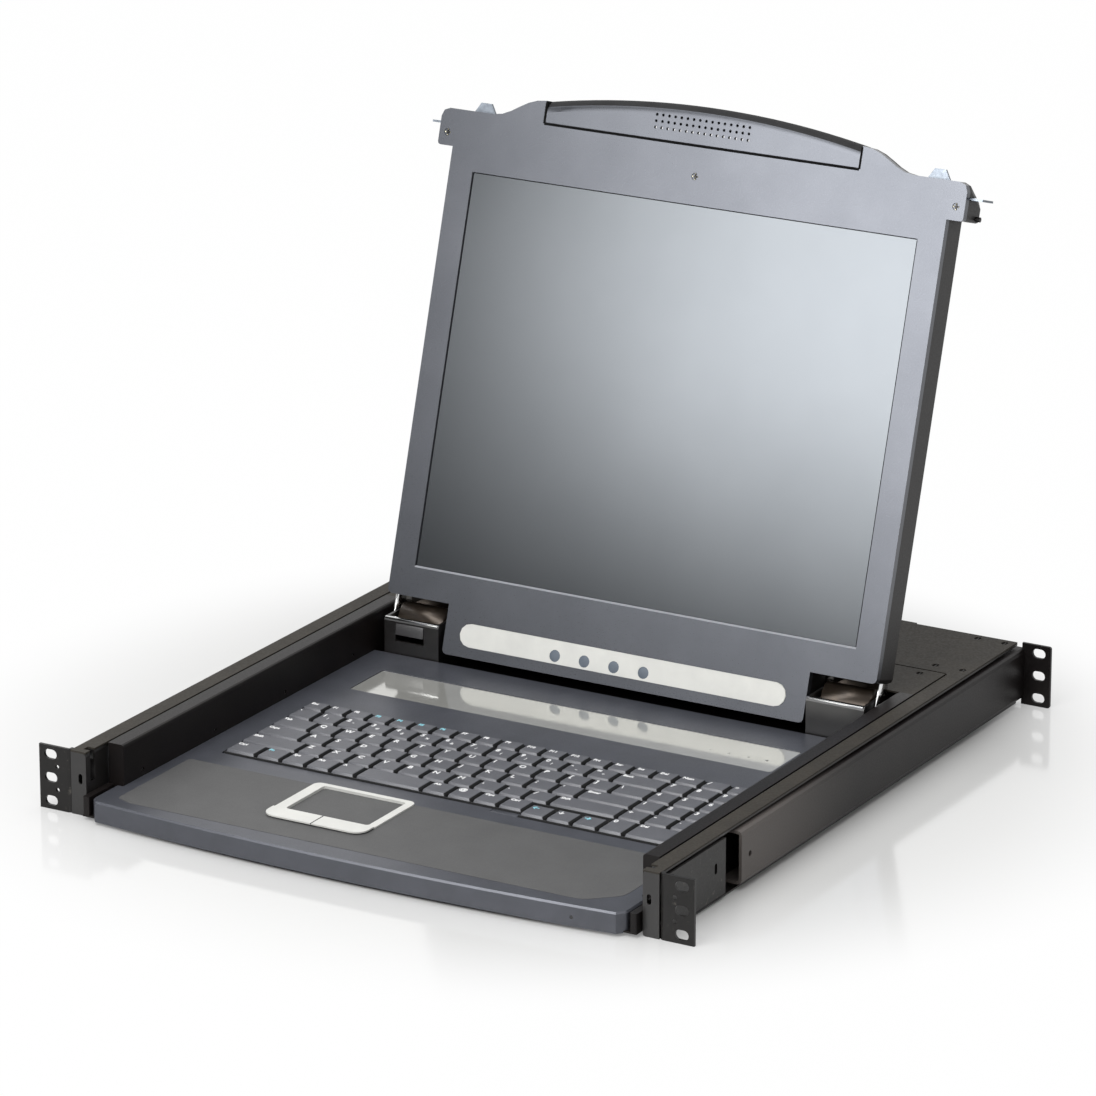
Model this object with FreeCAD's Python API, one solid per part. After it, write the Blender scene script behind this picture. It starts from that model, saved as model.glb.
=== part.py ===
import FreeCAD, Part
import math
import os

from FreeCAD import Vector

# Rackmount LCD console drawer, millimetres, +X to the right of a person at
# the keyboard, +Y into the rack, +Z up.  Heights are counted from the
# underside while the pieces are made; save() then moves the origin to the
# middle of the front rack holes, at half the unit's height.

# ---- Overall sizes
unit_height = 43.6
chassis_width = 433.6
chassis_depth = 495.0
ear_width = 24.5

# ---- Rack holes and ears
slot_to_edge = 8.75
hole_pitch = 15.875
slot_length = 9.6
slot_width = 6.6
ear_sheet = 2.0
bracket_length = 81.0
bracket_edge = 3.4
ear_bend = 0.8
pilot_radius = 1.5

# ---- Sheet metal of the chassis
sheet = 1.2
bend = 0.6
channel_depth = 11.6
rear_housing_depth = 80.2
floor_front = 14.0

# ---- Adjustable rear rails
rail_front = 96.0
rail_gap = 3.2
rail_edge = 4.0
rail_overhang = 3.0

# ---- Telescopic slides between the chassis and the drawer
slide_space = 12.0
slide_sheet = 1.2
slide_edge = 4.0
running_gap = 0.3
slide_rear_gap = 21.0

# ---- Drawer
seam_gap = 1.4
wall_gap = 1.6
drawer_clearance = 1.2
lip_reach = 18.5
lip_corner = 10.2
lip_overhang = 5.0
lip_depth = 14.0
lip_wall = 3.0
lip_chamfer = 1.2
corner_block = 5.0
bezel_top = 16.0
bezel_thick = 2.2
bezel_wall = 2.0
fit_gap = 0.3
film_rear = 87.0
film_corner = 20.0
film_depth = 0.3
film_margin = 9.0

# ---- Keyboard
key_margin = 21.75
key_units = 17.87
main_units = 14.87
key_rise = 2.6
key_height = 4.0
key_gap = 1.0
key_taper = 1.3
key_travel = 2.0
keys_front = 103.0
arrow_drop = 5.0
letter_rows_front = 127.5
row_pitch = 18.6
function_depth = 15.5
recess_margin = 1.3

# ---- Status strip and touchpad
strip_depth = 44.0
strip_to_rear = 32.0
strip_margin_left = 27.0
strip_margin_right = 35.0
strip_drop = 0.6
pad_centre = -48.7
pad_frame_width = 75.5
pad_frame_front = 22.0
pad_frame_depth = 68.0
pad_border = 8.0
pad_button_depth = 15.5
pad_rise = 1.0
pad_button_travel = 0.6

# ---- Lid with the display
lid_side_gap = 4.0
lid_front = -2.4
lid_thick = 24.1
lid_bezel_depth = 5.0
lid_wall = 2.0
lid_ear = 12.0
lid_ear_length = 25.6
shoulder_rise = 14.0
screen_side = 19.0
screen_top = 41.6
screen_bottom = 56.0
screen_sink = 0.9
lid_tail = 15.4
hinge_setback = 63.2
hinge_drop = 10.6
notch_depth = 34.3
pedestal_reach = 17.6
notch_width = 49.0
open_angle = 106.83
hinge_pin_radius = 3.0
hinge_pin_fit = 0.05
pedestal_gap = 2.5
pedestal_wall = 2.0
pedestal_top_gap = 2.4
handle_half = 120.0
handle_low = 310.5
handle_end = 326.0
handle_crown = 337.0
handle_round = 8.0
handle_gap = 1.0
vent_pitch_x = 4.7
vent_pitch_y = 4.3
vent_radius = 1.1
vent_columns = 16
vent_rows = 3
osd_radius = 4.0
osd_pitch = 22.8
osd_travel = 0.8
latch_reach = 9.5
latch_travel = 8.5

# ---- Places that follow from the sizes above
half = chassis_width / 2
ear_half = half + ear_width
hole_half = ear_half - slot_to_edge
mid = unit_height / 2
hole_heights = [mid - hole_pitch, mid, mid + hole_pitch]
cover_low = unit_height - sheet
web_in = half - channel_depth
web_out = web_in + sheet
drawer_inner = web_in - slide_space - sheet
drawer_outer = drawer_inner + sheet
lip_half = drawer_inner + lip_overhang
flange_out = web_in - wall_gap
housing_front = chassis_depth - rear_housing_depth
seam = housing_front - seam_gap
tray_low = sheet + drawer_clearance
tray_top = tray_low + sheet
hinge_y = seam - hinge_setback
hinge_z = unit_height - hinge_drop
lid_rear = hinge_y + lid_tail
screen_y = lid_rear - screen_bottom
lid_length = lid_rear - lid_front
lid_top = lid_length - screen_bottom
screen_height = lid_length - screen_bottom - screen_top
lid_half = drawer_inner - lid_side_gap
lid_ear_half = lid_half + lid_ear
lid_low = unit_height - lid_thick
lid_seam = lid_low + lid_bezel_depth
middle_half = lid_half - notch_width
notch_top = notch_depth - screen_bottom
ear_low = lid_top - lid_ear_length
screen_half = lid_half - screen_side
handle_shift = lid_top - 312.0
wall_front = screen_y - ear_low + 2 * fit_gap
notch_y = screen_y - notch_top
pedestal_front = hinge_y - pedestal_reach
bezel_rear = pedestal_front - 1.6
key_pitch = (2 * drawer_inner - 2 * key_margin) / key_units
keys_left = -drawer_inner + key_margin
keys_right = drawer_inner - key_margin
key_low = bezel_top + key_rise - key_height
key_well = key_travel + 1.5
letter_rows_rear = letter_rows_front + 4 * row_pitch
keys_rear = letter_rows_rear + function_depth
RIGHT = Vector(1, 0, 0)
BACK = Vector(0, 1, 0)
UP = Vector(0, 0, 1)

os.makedirs("parts", exist_ok=True)


def save(node, shape):
    """Writes one piece with the origin at the middle of the rack holes."""
    placed = shape.copy()
    placed.translate(Vector(0, 0, -mid))
    placed.exportStep("parts/" + node + ".step")


def box(x0, x1, y0, y1, z0, z1):
    corner = Vector(min(x0, x1), min(y0, y1), min(z0, z1))
    return Part.makeBox(abs(x1 - x0), abs(y1 - y0), abs(z1 - z0), corner)


def rod(radius, start, along):
    return Part.makeCylinder(radius, along.Length, start, along)


def peg(radius, start, along, sides):
    """Many-sided peg or hole, for small things that repeat often."""
    reference = RIGHT if abs(along.y) > abs(along.x) + abs(along.z) else BACK
    across = along.cross(reference).normalize()
    other = Vector(along).normalize().cross(across)
    corners = []
    for side in range(sides + 1):
        angle = math.pi * (2 * side + 1) / sides
        corners.append(start + across * (radius * math.cos(angle)) + other * (radius * math.sin(angle)))
    return Part.Face(Part.makePolygon(corners)).extrude(along)


def mirrored(shape):
    return shape.mirror(Vector(0, 0, 0), RIGHT)


def union(shapes):
    return shapes[0].fuse(shapes[1:]).removeSplitter()


def rounded_path(points, radii, facets=2):
    """Edges of an open path, its inner corners rounded by facets, or by an arc where facets is 0."""
    edges = []
    start = points[0]
    for before, corner, after, radius in zip(points, points[1:], points[2:], radii):
        stops = [corner]
        if radius > 0:
            back = (before - corner).normalize()
            ahead = (after - corner).normalize()
            angle = back.getAngle(ahead) / 2
            centre = corner + (back + ahead).normalize() * (radius / math.sin(angle))
            first = corner + back * (radius / math.tan(angle)) - centre
            last = corner + ahead * (radius / math.tan(angle)) - centre
            turn = math.pi - 2 * angle
            stops = []
            for step in range(max(facets, 2) + 1):
                share = turn * step / max(facets, 2)
                spoke = (first * math.sin(turn - share) + last * math.sin(share)) / math.sin(turn)
                stops.append(centre + spoke)
        if start.distanceToPoint(stops[0]) > 1e-6:
            edges.append(Part.LineSegment(start, stops[0]).toShape())
        if radius > 0 and facets == 0:
            edges.append(Part.Arc(stops[0], stops[1], stops[2]).toShape())
        else:
            edges += [Part.LineSegment(a, b).toShape() for a, b in zip(stops, stops[1:])]
        start = stops[-1]
    edges.append(Part.LineSegment(start, points[-1]).toShape())
    return edges


def rounded_face(points, radius, facets=2):
    """Face inside a closed outline with rounded corners."""
    radii = radius if isinstance(radius, list) else [radius] * len(points)
    start = (points[-1] + points[0]) * 0.5
    return Part.Face(Part.Wire(rounded_path([start] + points + [start], radii, facets)))


def plate(outline, low, high, radius=0, facets=2):
    """Flat piece with an outline in X and Y."""
    points = [Vector(x, y, low) for x, y in outline]
    return rounded_face(points, radius, facets).extrude(UP * (high - low))


def rectangle(x0, x1, y0, y1):
    return [(x0, y0), (x1, y0), (x1, y1), (x0, y1)]


def side_piece(outline, left, right, radius=0):
    """Piece with an outline in Y and Z that runs along X."""
    points = [Vector(left, y, z) for y, z in outline]
    return rounded_face(points, radius).extrude(RIGHT * (right - left))


def front_piece(outline, front, rear, radius=0):
    """Piece with an outline in X and Z that runs along Y."""
    points = [Vector(x, front, z) for x, z in outline]
    return rounded_face(points, radius).extrude(BACK * (rear - front))


def bent_sheet(path, thickness, inside, run):
    """Sheet on the left of a path, bent at its corners and drawn out along run."""
    upward = Vector(run).normalize()
    ways = [(b - a).normalize() for a, b in zip(path, path[1:])]
    sides = [upward.cross(way) for way in ways]
    near = [0]
    far = [0]
    offset = [path[0] + sides[0] * thickness]
    for corner, way, side, next_side in zip(path[1:], ways, sides, sides[1:]):
        mitre = (side + next_side) * (thickness / (1 + side.dot(next_side)))
        offset.append(corner + mitre)
        turns_left = next_side.dot(way) < 0
        near.append(inside + thickness if turns_left else inside)
        far.append(inside if turns_left else inside + thickness)
    offset.append(path[-1] + sides[-1] * thickness)
    radii = near + [0] + [0] + far[:0:-1] + [0]
    if inside == 0:
        radii = 0
    return rounded_face(path + offset[::-1], radii).extrude(run)


def section(points, y):
    return [Vector(x, y, z) for x, z in points]


def oval(x, y, z, length, width, along, depth):
    """Slot with round ends, cut along depth."""
    across = Vector(depth).normalize().cross(along)
    radius = width / 2
    corners = []
    for end in (1, -1):
        centre = Vector(x, y, z) + along * (end * (length / 2 - radius))
        for step in range(7):
            angle = math.pi * (step / 6 - 0.5)
            corners.append(centre + (along * math.cos(angle) + across * math.sin(angle)) * (end * radius))
    return Part.Face(Part.makePolygon(corners + corners[:1])).extrude(depth)


def frustum(x0, x1, y0, y1, z0, z1, taper):
    """Block whose top is smaller than its foot on all four sides."""
    low = [Vector(x, y, z0) for x, y in rectangle(x0, x1, y0, y1)]
    inner = rectangle(x0 + taper, x1 - taper, y0 + taper, y1 - taper)
    high = [Vector(x, y, z1) for x, y in inner]
    wires = [Part.makePolygon(low + low[:1]), Part.makePolygon(high + high[:1])]
    return Part.makeLoft(wires, True, True)


def rack_slots(y, depth):
    """The three slots of one right-hand rack ear, their ends true half circles."""
    slots = []
    radius = slot_width / 2
    reach = slot_length / 2 - radius
    for z in hole_heights:
        right = Vector(hole_half + reach, y, z)
        left = Vector(hole_half - reach, y, z)
        rise = UP * radius
        edges = [
            Part.LineSegment(left + rise, right + rise).toShape(),
            Part.Arc(right + rise, right + RIGHT * radius, right - rise).toShape(),
            Part.LineSegment(right - rise, left - rise).toShape(),
            Part.Arc(left - rise, left - RIGHT * radius, left + rise).toShape(),
        ]
        slots.append(Part.Face(Part.Wire(edges)).extrude(BACK * depth))
    return slots


# ---- Chassis: side channels, open outwards, carrying brackets and rails
channel_section = [(half, 0), (web_in, 0), (web_in, cover_low), (half, cover_low)]
channel = bent_sheet(section(channel_section, 0), sheet, bend, BACK * chassis_depth)
inner_low = sheet
inner_high = cover_low - sheet
front_strip = box(web_out - 0.5, half, 0, sheet, inner_low, inner_high)
front_slot = oval(web_in + 4.4, -1, mid + 3, 7.0, 3.0, UP, BACK * 3)
boss_low = 8.0
boss_high = 36.0
bosses = [box(web_out - 0.5, half, y, y + length, boss_low, boss_high) for y, length in ((10, 15), (50, 25))]
rail_in = half + rail_gap
rail_low = rail_edge
rail_high = unit_height - rail_edge
guide_out = rail_in - fit_gap
guide_low = rail_low + ear_sheet + fit_gap
guide_high = rail_high - ear_sheet - fit_gap
guide_places = (seam - 21, chassis_depth - 33)
guides = [box(web_out - 0.5, guide_out, y, y + 20, guide_low, guide_high) for y in guide_places]
latch_slot_front = screen_y - ear_low - 18
latch_slot_rear = latch_slot_front + 5.3
latch_slot_out = web_in + 5.2
latch_slot = box(web_in - 1, latch_slot_out, latch_slot_front, latch_slot_rear, 22, unit_height + 1)
cover_screw_places = [
    (web_in + 5.0, housing_front + 11),
    (web_in - 15.2, housing_front + 11),
    (web_in + 5.0, chassis_depth - 6),
    (web_in - 15.2, chassis_depth - 6),
]
screw_head = 2.5
screw_sink = 0.8
screw_sides = 10
channel = union([channel, front_strip] + bosses + guides).cut([latch_slot, front_slot])
save("side_channel_right", channel)
save("side_channel_left", mirrored(channel))

# ---- Chassis: top cover, a rear plate with an arm over each side channel


def screw_recess(x, y):
    """Round sinking in a top sheet for a flat screw head."""
    return peg(screw_head + 0.1, Vector(x, y, unit_height - screw_sink), UP * 2, screw_sides)


def screw_in_top(x, y):
    """Flat screw head sitting in its sinking."""
    return peg(screw_head, Vector(x, y, unit_height - screw_sink), UP * (screw_sink - 0.05), screw_sides)


cover_outline = [
    (-half, 0), (-web_in, 0), (-web_in, housing_front), (web_in, housing_front),
    (web_in, 0), (half, 0), (half, chassis_depth), (-half, chassis_depth),
]
cover = plate(cover_outline, cover_low, unit_height, [0, 0, 3, 3, 0, 0, 0, 0])
tabs = []
for x in (-140, -6, 128):
    tabs.append(box(x, x + 12, chassis_depth - 1, chassis_depth + 1.8, cover_low, unit_height))
cover_cuts = [latch_slot, mirrored(latch_slot)]
for x, y in cover_screw_places:
    for side in (-1, 1):
        cover_cuts.append(screw_recess(side * x, y))
save("top_cover", union([cover] + tabs).cut(cover_cuts))

# ---- Chassis: floor pan with the divider and the rear panel
floor = box(-web_in, web_in, floor_front, chassis_depth, 0, sheet)
housing_half = drawer_inner - 2
divider = box(-housing_half, housing_half, housing_front, housing_front + sheet, sheet, cover_low)
rear_panel = box(-web_in, web_in, chassis_depth - sheet, chassis_depth, sheet, cover_low)
cable_window = oval(0, housing_front - 1, 30, 60, 14, RIGHT, BACK * 4)
inlet_x = drawer_inner - 40
inlet_width = 27.0
inlet_height = 19.6
rocker_x = inlet_x - 34
rocker_width = 13.0
rocker_height = 19.0
port_z = 19.0
dsub_width = 17.0
dsub_height = 9.0
dsub_places = (-drawer_inner + 30, -drawer_inner + 75)
usb_width = 13.2
usb_height = 5.8
usb_places = (-drawer_inner + 112, -drawer_inner + 134)
rear_y = chassis_depth - sheet


def d_outline(x, width, height, grow=0.0):
    """D-shaped connector shell, narrower at the bottom."""
    top = width / 2 + grow
    low = width / 2 - 1.2 + grow
    rise = height / 2 + grow
    return [
        (x - low, port_z - rise), (x + low, port_z - rise),
        (x + top, port_z + rise), (x - top, port_z + rise),
    ]


def upright(x, z, width, height):
    return [
        (x - width / 2, z - height / 2), (x + width / 2, z - height / 2),
        (x + width / 2, z + height / 2), (x - width / 2, z + height / 2),
    ]


panel_cuts = [
    front_piece(upright(inlet_x, mid, inlet_width + 0.6, inlet_height + 0.6), rear_y - 1, rear_y + 3, 1.5),
    front_piece(upright(rocker_x, mid, rocker_width + 0.6, rocker_height + 0.6), rear_y - 1, rear_y + 3, 0),
]
for x in dsub_places:
    panel_cuts.append(front_piece(d_outline(x, dsub_width, dsub_height, 0.3), rear_y - 1, rear_y + 3))
for x in usb_places:
    around = upright(x, port_z, usb_width + 0.6, usb_height + 0.6)
    panel_cuts.append(front_piece(around, rear_y - 1, rear_y + 3))
vent_width = 3.0
vent_places = [usb_places[1] + 30 + 7 * i for i in range(7)]
for x in vent_places:
    panel_cuts.append(box(x, x + vent_width, rear_y - 1, rear_y + 3, mid - 11, mid + 11))
for x in vent_places[::2]:
    panel_cuts.append(box(x, x + vent_width, chassis_depth - 60, chassis_depth - 20, -1, 3))
save("chassis_base", union([floor, divider, rear_panel]).cut(panel_cuts + [cable_window]))

# ---- Chassis: front brackets with the rack ears
bracket_path = [Vector(half, bracket_length, 0), Vector(half, 0, 0), Vector(ear_half, 0, 0)]
bracket = bent_sheet(bracket_path, ear_sheet, ear_bend, UP * unit_height)
edge_cuts = []
for z in (0, unit_height - bracket_edge):
    edge_cuts.append(box(half - 1, half + 5, 4.5, bracket_length + 1, z, z + bracket_edge))
slot_at = oval(half - 1, bracket_length - 12.6, mid + 1.8, 7.3, 3.2, UP, RIGHT * 5)
pin_hole = peg(1.0, Vector(half - 1, 13.4, unit_height - bracket_edge - 2.4), RIGHT * 5, 8)
pilots = []
for z in (mid - hole_pitch / 2, mid + hole_pitch / 2):
    pilots.append(peg(pilot_radius, Vector(hole_half - 5, -1, z), BACK * 5, 8))
bracket = bracket.cut(edge_cuts + [slot_at, pin_hole] + pilots + rack_slots(-1, 5))
save("front_bracket_right", bracket)
save("front_bracket_left", mirrored(bracket))

# ---- Rear rails, C-shaped, sliding over the guides to suit the rack's depth
rail_out = rail_in + ear_sheet
rail_reach = web_out + fit_gap
rail_rear = chassis_depth + rail_overhang
rail_section = [(rail_reach, rail_high), (rail_out, rail_high), (rail_out, rail_low), (rail_reach, rail_low)]
rail_body = bent_sheet(section(rail_section, rail_front), ear_sheet, ear_bend, BACK * (rail_rear - rail_front))
ear_outline = [
    (rail_in, 0), (ear_half, 0), (ear_half, unit_height), (rail_in, unit_height),
]
rail_ear = front_piece(ear_outline, rail_rear - ear_sheet, rail_rear, [0, 1.5, 1.5, 0])
rail_hole = peg(2.0, Vector(rail_in - 1, rail_front + 11, mid), RIGHT * 5, 10)
rail = union([rail_body, rail_ear]).cut([rail_hole] + rack_slots(rail_rear - 4, 6))
save("rear_rail_right", rail)
save("rear_rail_left", mirrored(rail))

# ---- Slides: outer on the chassis, middle between, inner on the drawer
slide_front = wall_front + sheet + 1.5
slide_rear = chassis_depth - slide_rear_gap
slide_in = web_in - slide_space
outer_low = slide_edge
outer_high = unit_height - slide_edge


def slide_channel(web, tip, low, high, front, rear):
    """C-section with its web at one side and both flanges towards the tip."""
    path = [(tip, high), (web, high), (web, low), (tip, low)]
    if tip > web:
        path = path[::-1]
    return bent_sheet(section(path, front), slide_sheet, 0, BACK * (rear - front))


step = slide_sheet + running_gap
outer_slide = slide_channel(web_in, slide_in + 2.8, outer_low, outer_high, slide_front, slide_rear)
middle_slide = slide_channel(
    web_in - step, slide_in + 2.3, outer_low + step, outer_high - step, slide_front, slide_rear - 4
)
inner_slide = slide_channel(
    slide_in, web_in - step - step, outer_low + 2 * step, outer_high - 2 * step, wall_front + sheet, seam
)
for name, member in (("outer", outer_slide), ("middle", middle_slide), ("inner", inner_slide)):
    save("slide_" + name + "_right", member)
    save("slide_" + name + "_left", mirrored(member))

# ---- Rear housing: power supply, main board, inlet, switch and ports
supply = plate(rectangle(75, housing_half - 3, housing_front + 6, rear_y - 24), sheet, 37, 2)
save("power_supply", supply)
board_low = 7.0
board_top = board_low + 1.6
board_front = housing_front + 8
board_rear = rear_y - 6
board = box(-housing_half + 4, 60, board_front, board_rear, board_low, board_top)
posts = []
for x in (-housing_half + 10, -60, 50):
    for y in (board_front + 5, board_rear - 5):
        posts.append(box(x - 3, x + 3, y - 3, y + 3, sheet, board_low))
chips = []
for x in (-120, -70, -20):
    chips.append(box(x, x + 22, board_front + 12, board_front + 34, board_top, board_top + 2))
chips.append(box(10, 50, board_front + 30, board_front + 38, board_top, board_top + 9))
save("control_board", union([board] + posts + chips))
inlet_body = front_piece(upright(inlet_x, mid, inlet_width, inlet_height), rear_y - 20, chassis_depth, 1.5)
inlet_flange = front_piece(upright(inlet_x, mid, 31, 24), chassis_depth, chassis_depth + 2.5, 2)
inlet_well = front_piece(upright(inlet_x, mid, 23, 15.4), rear_y - 16, chassis_depth + 3, [3, 3, 1, 1])
inlet_pins = []
for x, z in ((inlet_x - 7, mid - 2), (inlet_x, mid + 3), (inlet_x + 7, mid - 2)):
    inlet_pins.append(box(x - 1, x + 1, rear_y - 16.5, chassis_depth - 2, z - 2, z + 2))
save("power_inlet", union([union([inlet_body, inlet_flange]).cut(inlet_well)] + inlet_pins))
ports = []
for x in dsub_places:
    shell = front_piece(d_outline(x, dsub_width, dsub_height), rear_y - 9, chassis_depth + 5.5)
    mouth = front_piece(d_outline(x, dsub_width, dsub_height, -1), chassis_depth - 1, chassis_depth + 6)
    block = box(x - 15, x + 15, rear_y - 12, rear_y, board_top, port_z + 6)
    jacks = [peg(2.8, Vector(x + side * 12.5, chassis_depth, port_z), BACK * 4, 6) for side in (-1, 1)]
    ports.append(union([shell.cut(mouth), block]))
    ports.extend(jacks)
for x in usb_places:
    body = front_piece(upright(x, port_z, usb_width, usb_height), rear_y - 14, chassis_depth + 0.6)
    opening = upright(x, port_z, usb_width - 1, usb_height - 1)
    mouth = front_piece(opening, chassis_depth - 9, chassis_depth + 1)
    tongue = box(x - 5, x + 5, chassis_depth - 10, chassis_depth - 0.5, port_z + 0.2, port_z + 1.8)
    foot = box(x - 6, x + 6, rear_y - 14, rear_y - 1, board_top, port_z - usb_height / 2)
    ports.append(union([body.cut(mouth), tongue, foot]))
rocker_swing = 6.0
rocker_pivot_y = chassis_depth - 4
rocker_frame = front_piece(upright(rocker_x, mid, rocker_width, rocker_height), rear_y - 12, chassis_depth)
rim_outline = upright(rocker_x, mid, rocker_width + 3, rocker_height + 3)
rocker_rim = front_piece(rim_outline, chassis_depth, chassis_depth + 1.2)
rocker_well = box(rocker_x - 4.8, rocker_x + 4.8, rear_y - 10, chassis_depth + 2, mid - 8.4, mid + 8.4)
rocker_profile = [
    (rocker_pivot_y - 5, mid - 2.5), (chassis_depth + 1.6, mid - 7.2), (chassis_depth + 0.4, mid),
    (chassis_depth + 1.6, mid + 7.2), (rocker_pivot_y - 5, mid + 2.5),
]
rocker = side_piece(rocker_profile, rocker_x - 4.5, rocker_x + 4.5)
rocker_axle = rod(1.2, Vector(rocker_x - 5.2, rocker_pivot_y, mid), RIGHT * 10.4)
rocker_holes = peg(1.25, Vector(rocker_x - 6, rocker_pivot_y, mid), RIGHT * 12, 12)
rocker = union([rocker, rocker_axle])
rocker.rotate(Vector(0, rocker_pivot_y, mid), RIGHT, -rocker_swing)
save("power_rocker", rocker)
ports.append(union([rocker_frame, rocker_rim]).cut([rocker_well, rocker_holes]))
save("rear_ports", Part.makeCompound(ports))
screws = []
for x, y in cover_screw_places:
    for side in (-1, 1):
        screws.append(screw_in_top(side * x, y))
save("chassis_screws", Part.makeCompound(screws))

# ---- Drawer: tray with a bowed front edge, corner blocks and rear upstand


def front_arc(inset):
    """Bowed front edge of the lip, moved inwards by inset."""
    side = lip_half - 5 - inset / 2
    ends = -lip_corner + inset
    return Part.Arc(Vector(side, ends, 0), Vector(0, -lip_reach + inset, 0), Vector(-side, ends, 0)).toShape()


def lip_face(inset, rear, rear_half):
    """Outline of the keyboard bezel: wide bowed lip, narrower between the walls."""
    arc = front_arc(inset)
    start = arc.Vertexes[0].Point
    finish = arc.Vertexes[-1].Point
    wide = lip_half - inset
    right = [
        Vector(0, rear, 0), Vector(rear_half, rear, 0), Vector(rear_half, wall_front - fit_gap - inset, 0),
        Vector(wide, wall_front - fit_gap - inset, 0), Vector(wide, -lip_corner + 6 + inset, 0), start,
    ]
    left = [Vector(-p.x, p.y, 0) for p in right]
    left[-1] = finish
    radii = [0, 0, 0, 0] if inset > 0 else [0, 0, 2, 3]
    edges = rounded_path(right, radii, 0) + [arc] + rounded_path(left, radii, 0)
    return Part.Face(Part.Wire(Part.__sortEdges__(edges)))


tray_rear = seam - sheet
block_in = lip_half + 2.2
block_out = block_in + corner_block
block_front = -lip_corner + 4.2
bowed = lip_face(lip_wall + fit_gap, tray_rear, drawer_inner)
bowed.translate(UP * tray_low)
tray_floor = bowed.extrude(UP * sheet)
tray_wings = box(-block_out, block_out, block_front, wall_front - fit_gap, tray_low, tray_top)
upstand = box(-drawer_inner, drawer_inner, tray_rear - sheet, tray_rear, tray_top, cover_low)
tray_blocks = []
for side in (-1, 1):
    ends = rectangle(side * block_in, side * block_out, block_front, wall_front - fit_gap)
    tray_blocks.append(plate(ends, tray_low, bezel_top, [1, 1, 1, 1]))
tray_window = oval(0, tray_rear - 3, 30, 60, 14, RIGHT, BACK * 6)
save("drawer_tray", union([tray_floor, tray_wings, upstand] + tray_blocks).cut(tray_window))

# ---- Drawer: side walls with a top flange over the slides and a front cap
cover_step = hinge_y + lid_tail + 0.4
wall_path = [(drawer_inner, tray_low), (drawer_inner, unit_height), (flange_out, unit_height)]
wall = bent_sheet(section(wall_path, wall_front), sheet, bend, BACK * (seam - wall_front))
cap = box(drawer_outer - 0.4, flange_out, wall_front, wall_front + sheet, slide_edge - 1, cover_low)
cover_relief = box(drawer_inner - 1, flange_out + 1, cover_step, seam + 1, cover_low, unit_height + 1)
wall_holes = [peg(1.4, Vector(drawer_inner - 1, y, mid - 1.5), RIGHT * 4, 8) for y in (46, 132, 218, 304)]
wall = union([wall, cap]).cut([cover_relief] + wall_holes)
save("drawer_wall_right", wall)
save("drawer_wall_left", mirrored(wall))

# ---- Drawer: rear cover behind the lid's hinge
cover_middle = middle_half + 1
rear_cover_outline = [
    (-flange_out, cover_step), (-cover_middle, cover_step), (-cover_middle, cover_step + 6.5),
    (cover_middle, cover_step + 6.5), (cover_middle, cover_step), (flange_out, cover_step),
    (flange_out, seam), (-flange_out, seam),
]
rear_cover = plate(rear_cover_outline, cover_low, unit_height)
fold_front = cover_step + 6.5
front_fold = box(-cover_middle, cover_middle, fold_front, fold_front + sheet, cover_low - 8, cover_low)
drawer_screw_places = [(drawer_inner - 4, seam - 7), (drawer_inner - 60, seam - 7)]
rear_cover_holes = []
fixings = []
for x, y in drawer_screw_places:
    for side in (-1, 1):
        rear_cover_holes.append(screw_recess(side * x, y))
        fixings.append(screw_in_top(side * x, y))
save("drawer_rear_cover", union([rear_cover, front_fold]).cut(rear_cover_holes))
save("drawer_screws", Part.makeCompound(fixings))

# ---- Keyboard bezel: one moulding with a bowed lip and all the openings
bezel_half = drawer_inner - fit_gap
bezel_low = bezel_top - bezel_thick
outer_face = lip_face(0, bezel_rear, bezel_half)
outer_face.translate(UP * (bezel_top - lip_depth))
moulding = outer_face.extrude(UP * lip_depth)
top_edges = []
for edge in moulding.Edges:
    ends = edge.BoundBox
    if ends.ZMin > bezel_top - 0.01 and ends.YMax < wall_front - 2:
        top_edges.append(edge)
moulding = moulding.makeChamfer(lip_chamfer, top_edges)
inner_face = lip_face(lip_wall, bezel_rear - bezel_wall, bezel_half - bezel_wall)
inner_face.translate(UP * (bezel_top - lip_depth - 1))
hollow = inner_face.extrude(UP * (lip_depth + 1 - bezel_thick))
tray_face = lip_face(lip_wall, bezel_rear + 5, drawer_inner)
tray_face.translate(UP * (tray_low - 2))
tray_space = tray_face.extrude(UP * (tray_top - tray_low + 2))
wing_space = box(-block_out, block_out, block_front - fit_gap, wall_front, tray_low - 2, tray_top)
recess_left = keys_left - recess_margin
recess_right = keys_right + recess_margin
arrow_left = keys_left + 10.87 * key_pitch - recess_margin
recess_outline = [
    (recess_left, keys_front + arrow_drop - recess_margin),
    (arrow_left, keys_front + arrow_drop - recess_margin),
    (arrow_left, keys_front - recess_margin), (recess_right, keys_front - recess_margin),
    (recess_right, keys_rear + recess_margin), (recess_left, keys_rear + recess_margin),
]
key_opening = plate(recess_outline, bezel_low - 1, bezel_top + 1, [1.5, 0, 0, 1.5, 1.5, 1.5])
film_half = drawer_inner - film_margin
film_outline = [
    (-film_half, film_rear), (-film_half, 3), (-film_half + film_corner * 0.6, -1.5),
    (film_half - film_corner, -1.5), (film_half, film_corner - 3), (film_half, film_rear),
]
film_radii = [2, 3, 5, 12, 12, 2]
film_seat = plate(film_outline, bezel_top - film_depth, bezel_top + 1, film_radii)
strip_rear = bezel_rear - strip_to_rear
strip_front = strip_rear - strip_depth
strip_left = -drawer_inner + strip_margin_left
strip_right = drawer_inner - strip_margin_right
strip_outline = rectangle(strip_left, strip_right, strip_front, strip_rear)
strip_seat = plate(strip_outline, bezel_top - strip_drop - 0.8, bezel_top + 1, 2)
pad_left = pad_centre - pad_frame_width / 2
pad_right = pad_centre + pad_frame_width / 2
pad_rear = pad_frame_front + pad_frame_depth
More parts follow.
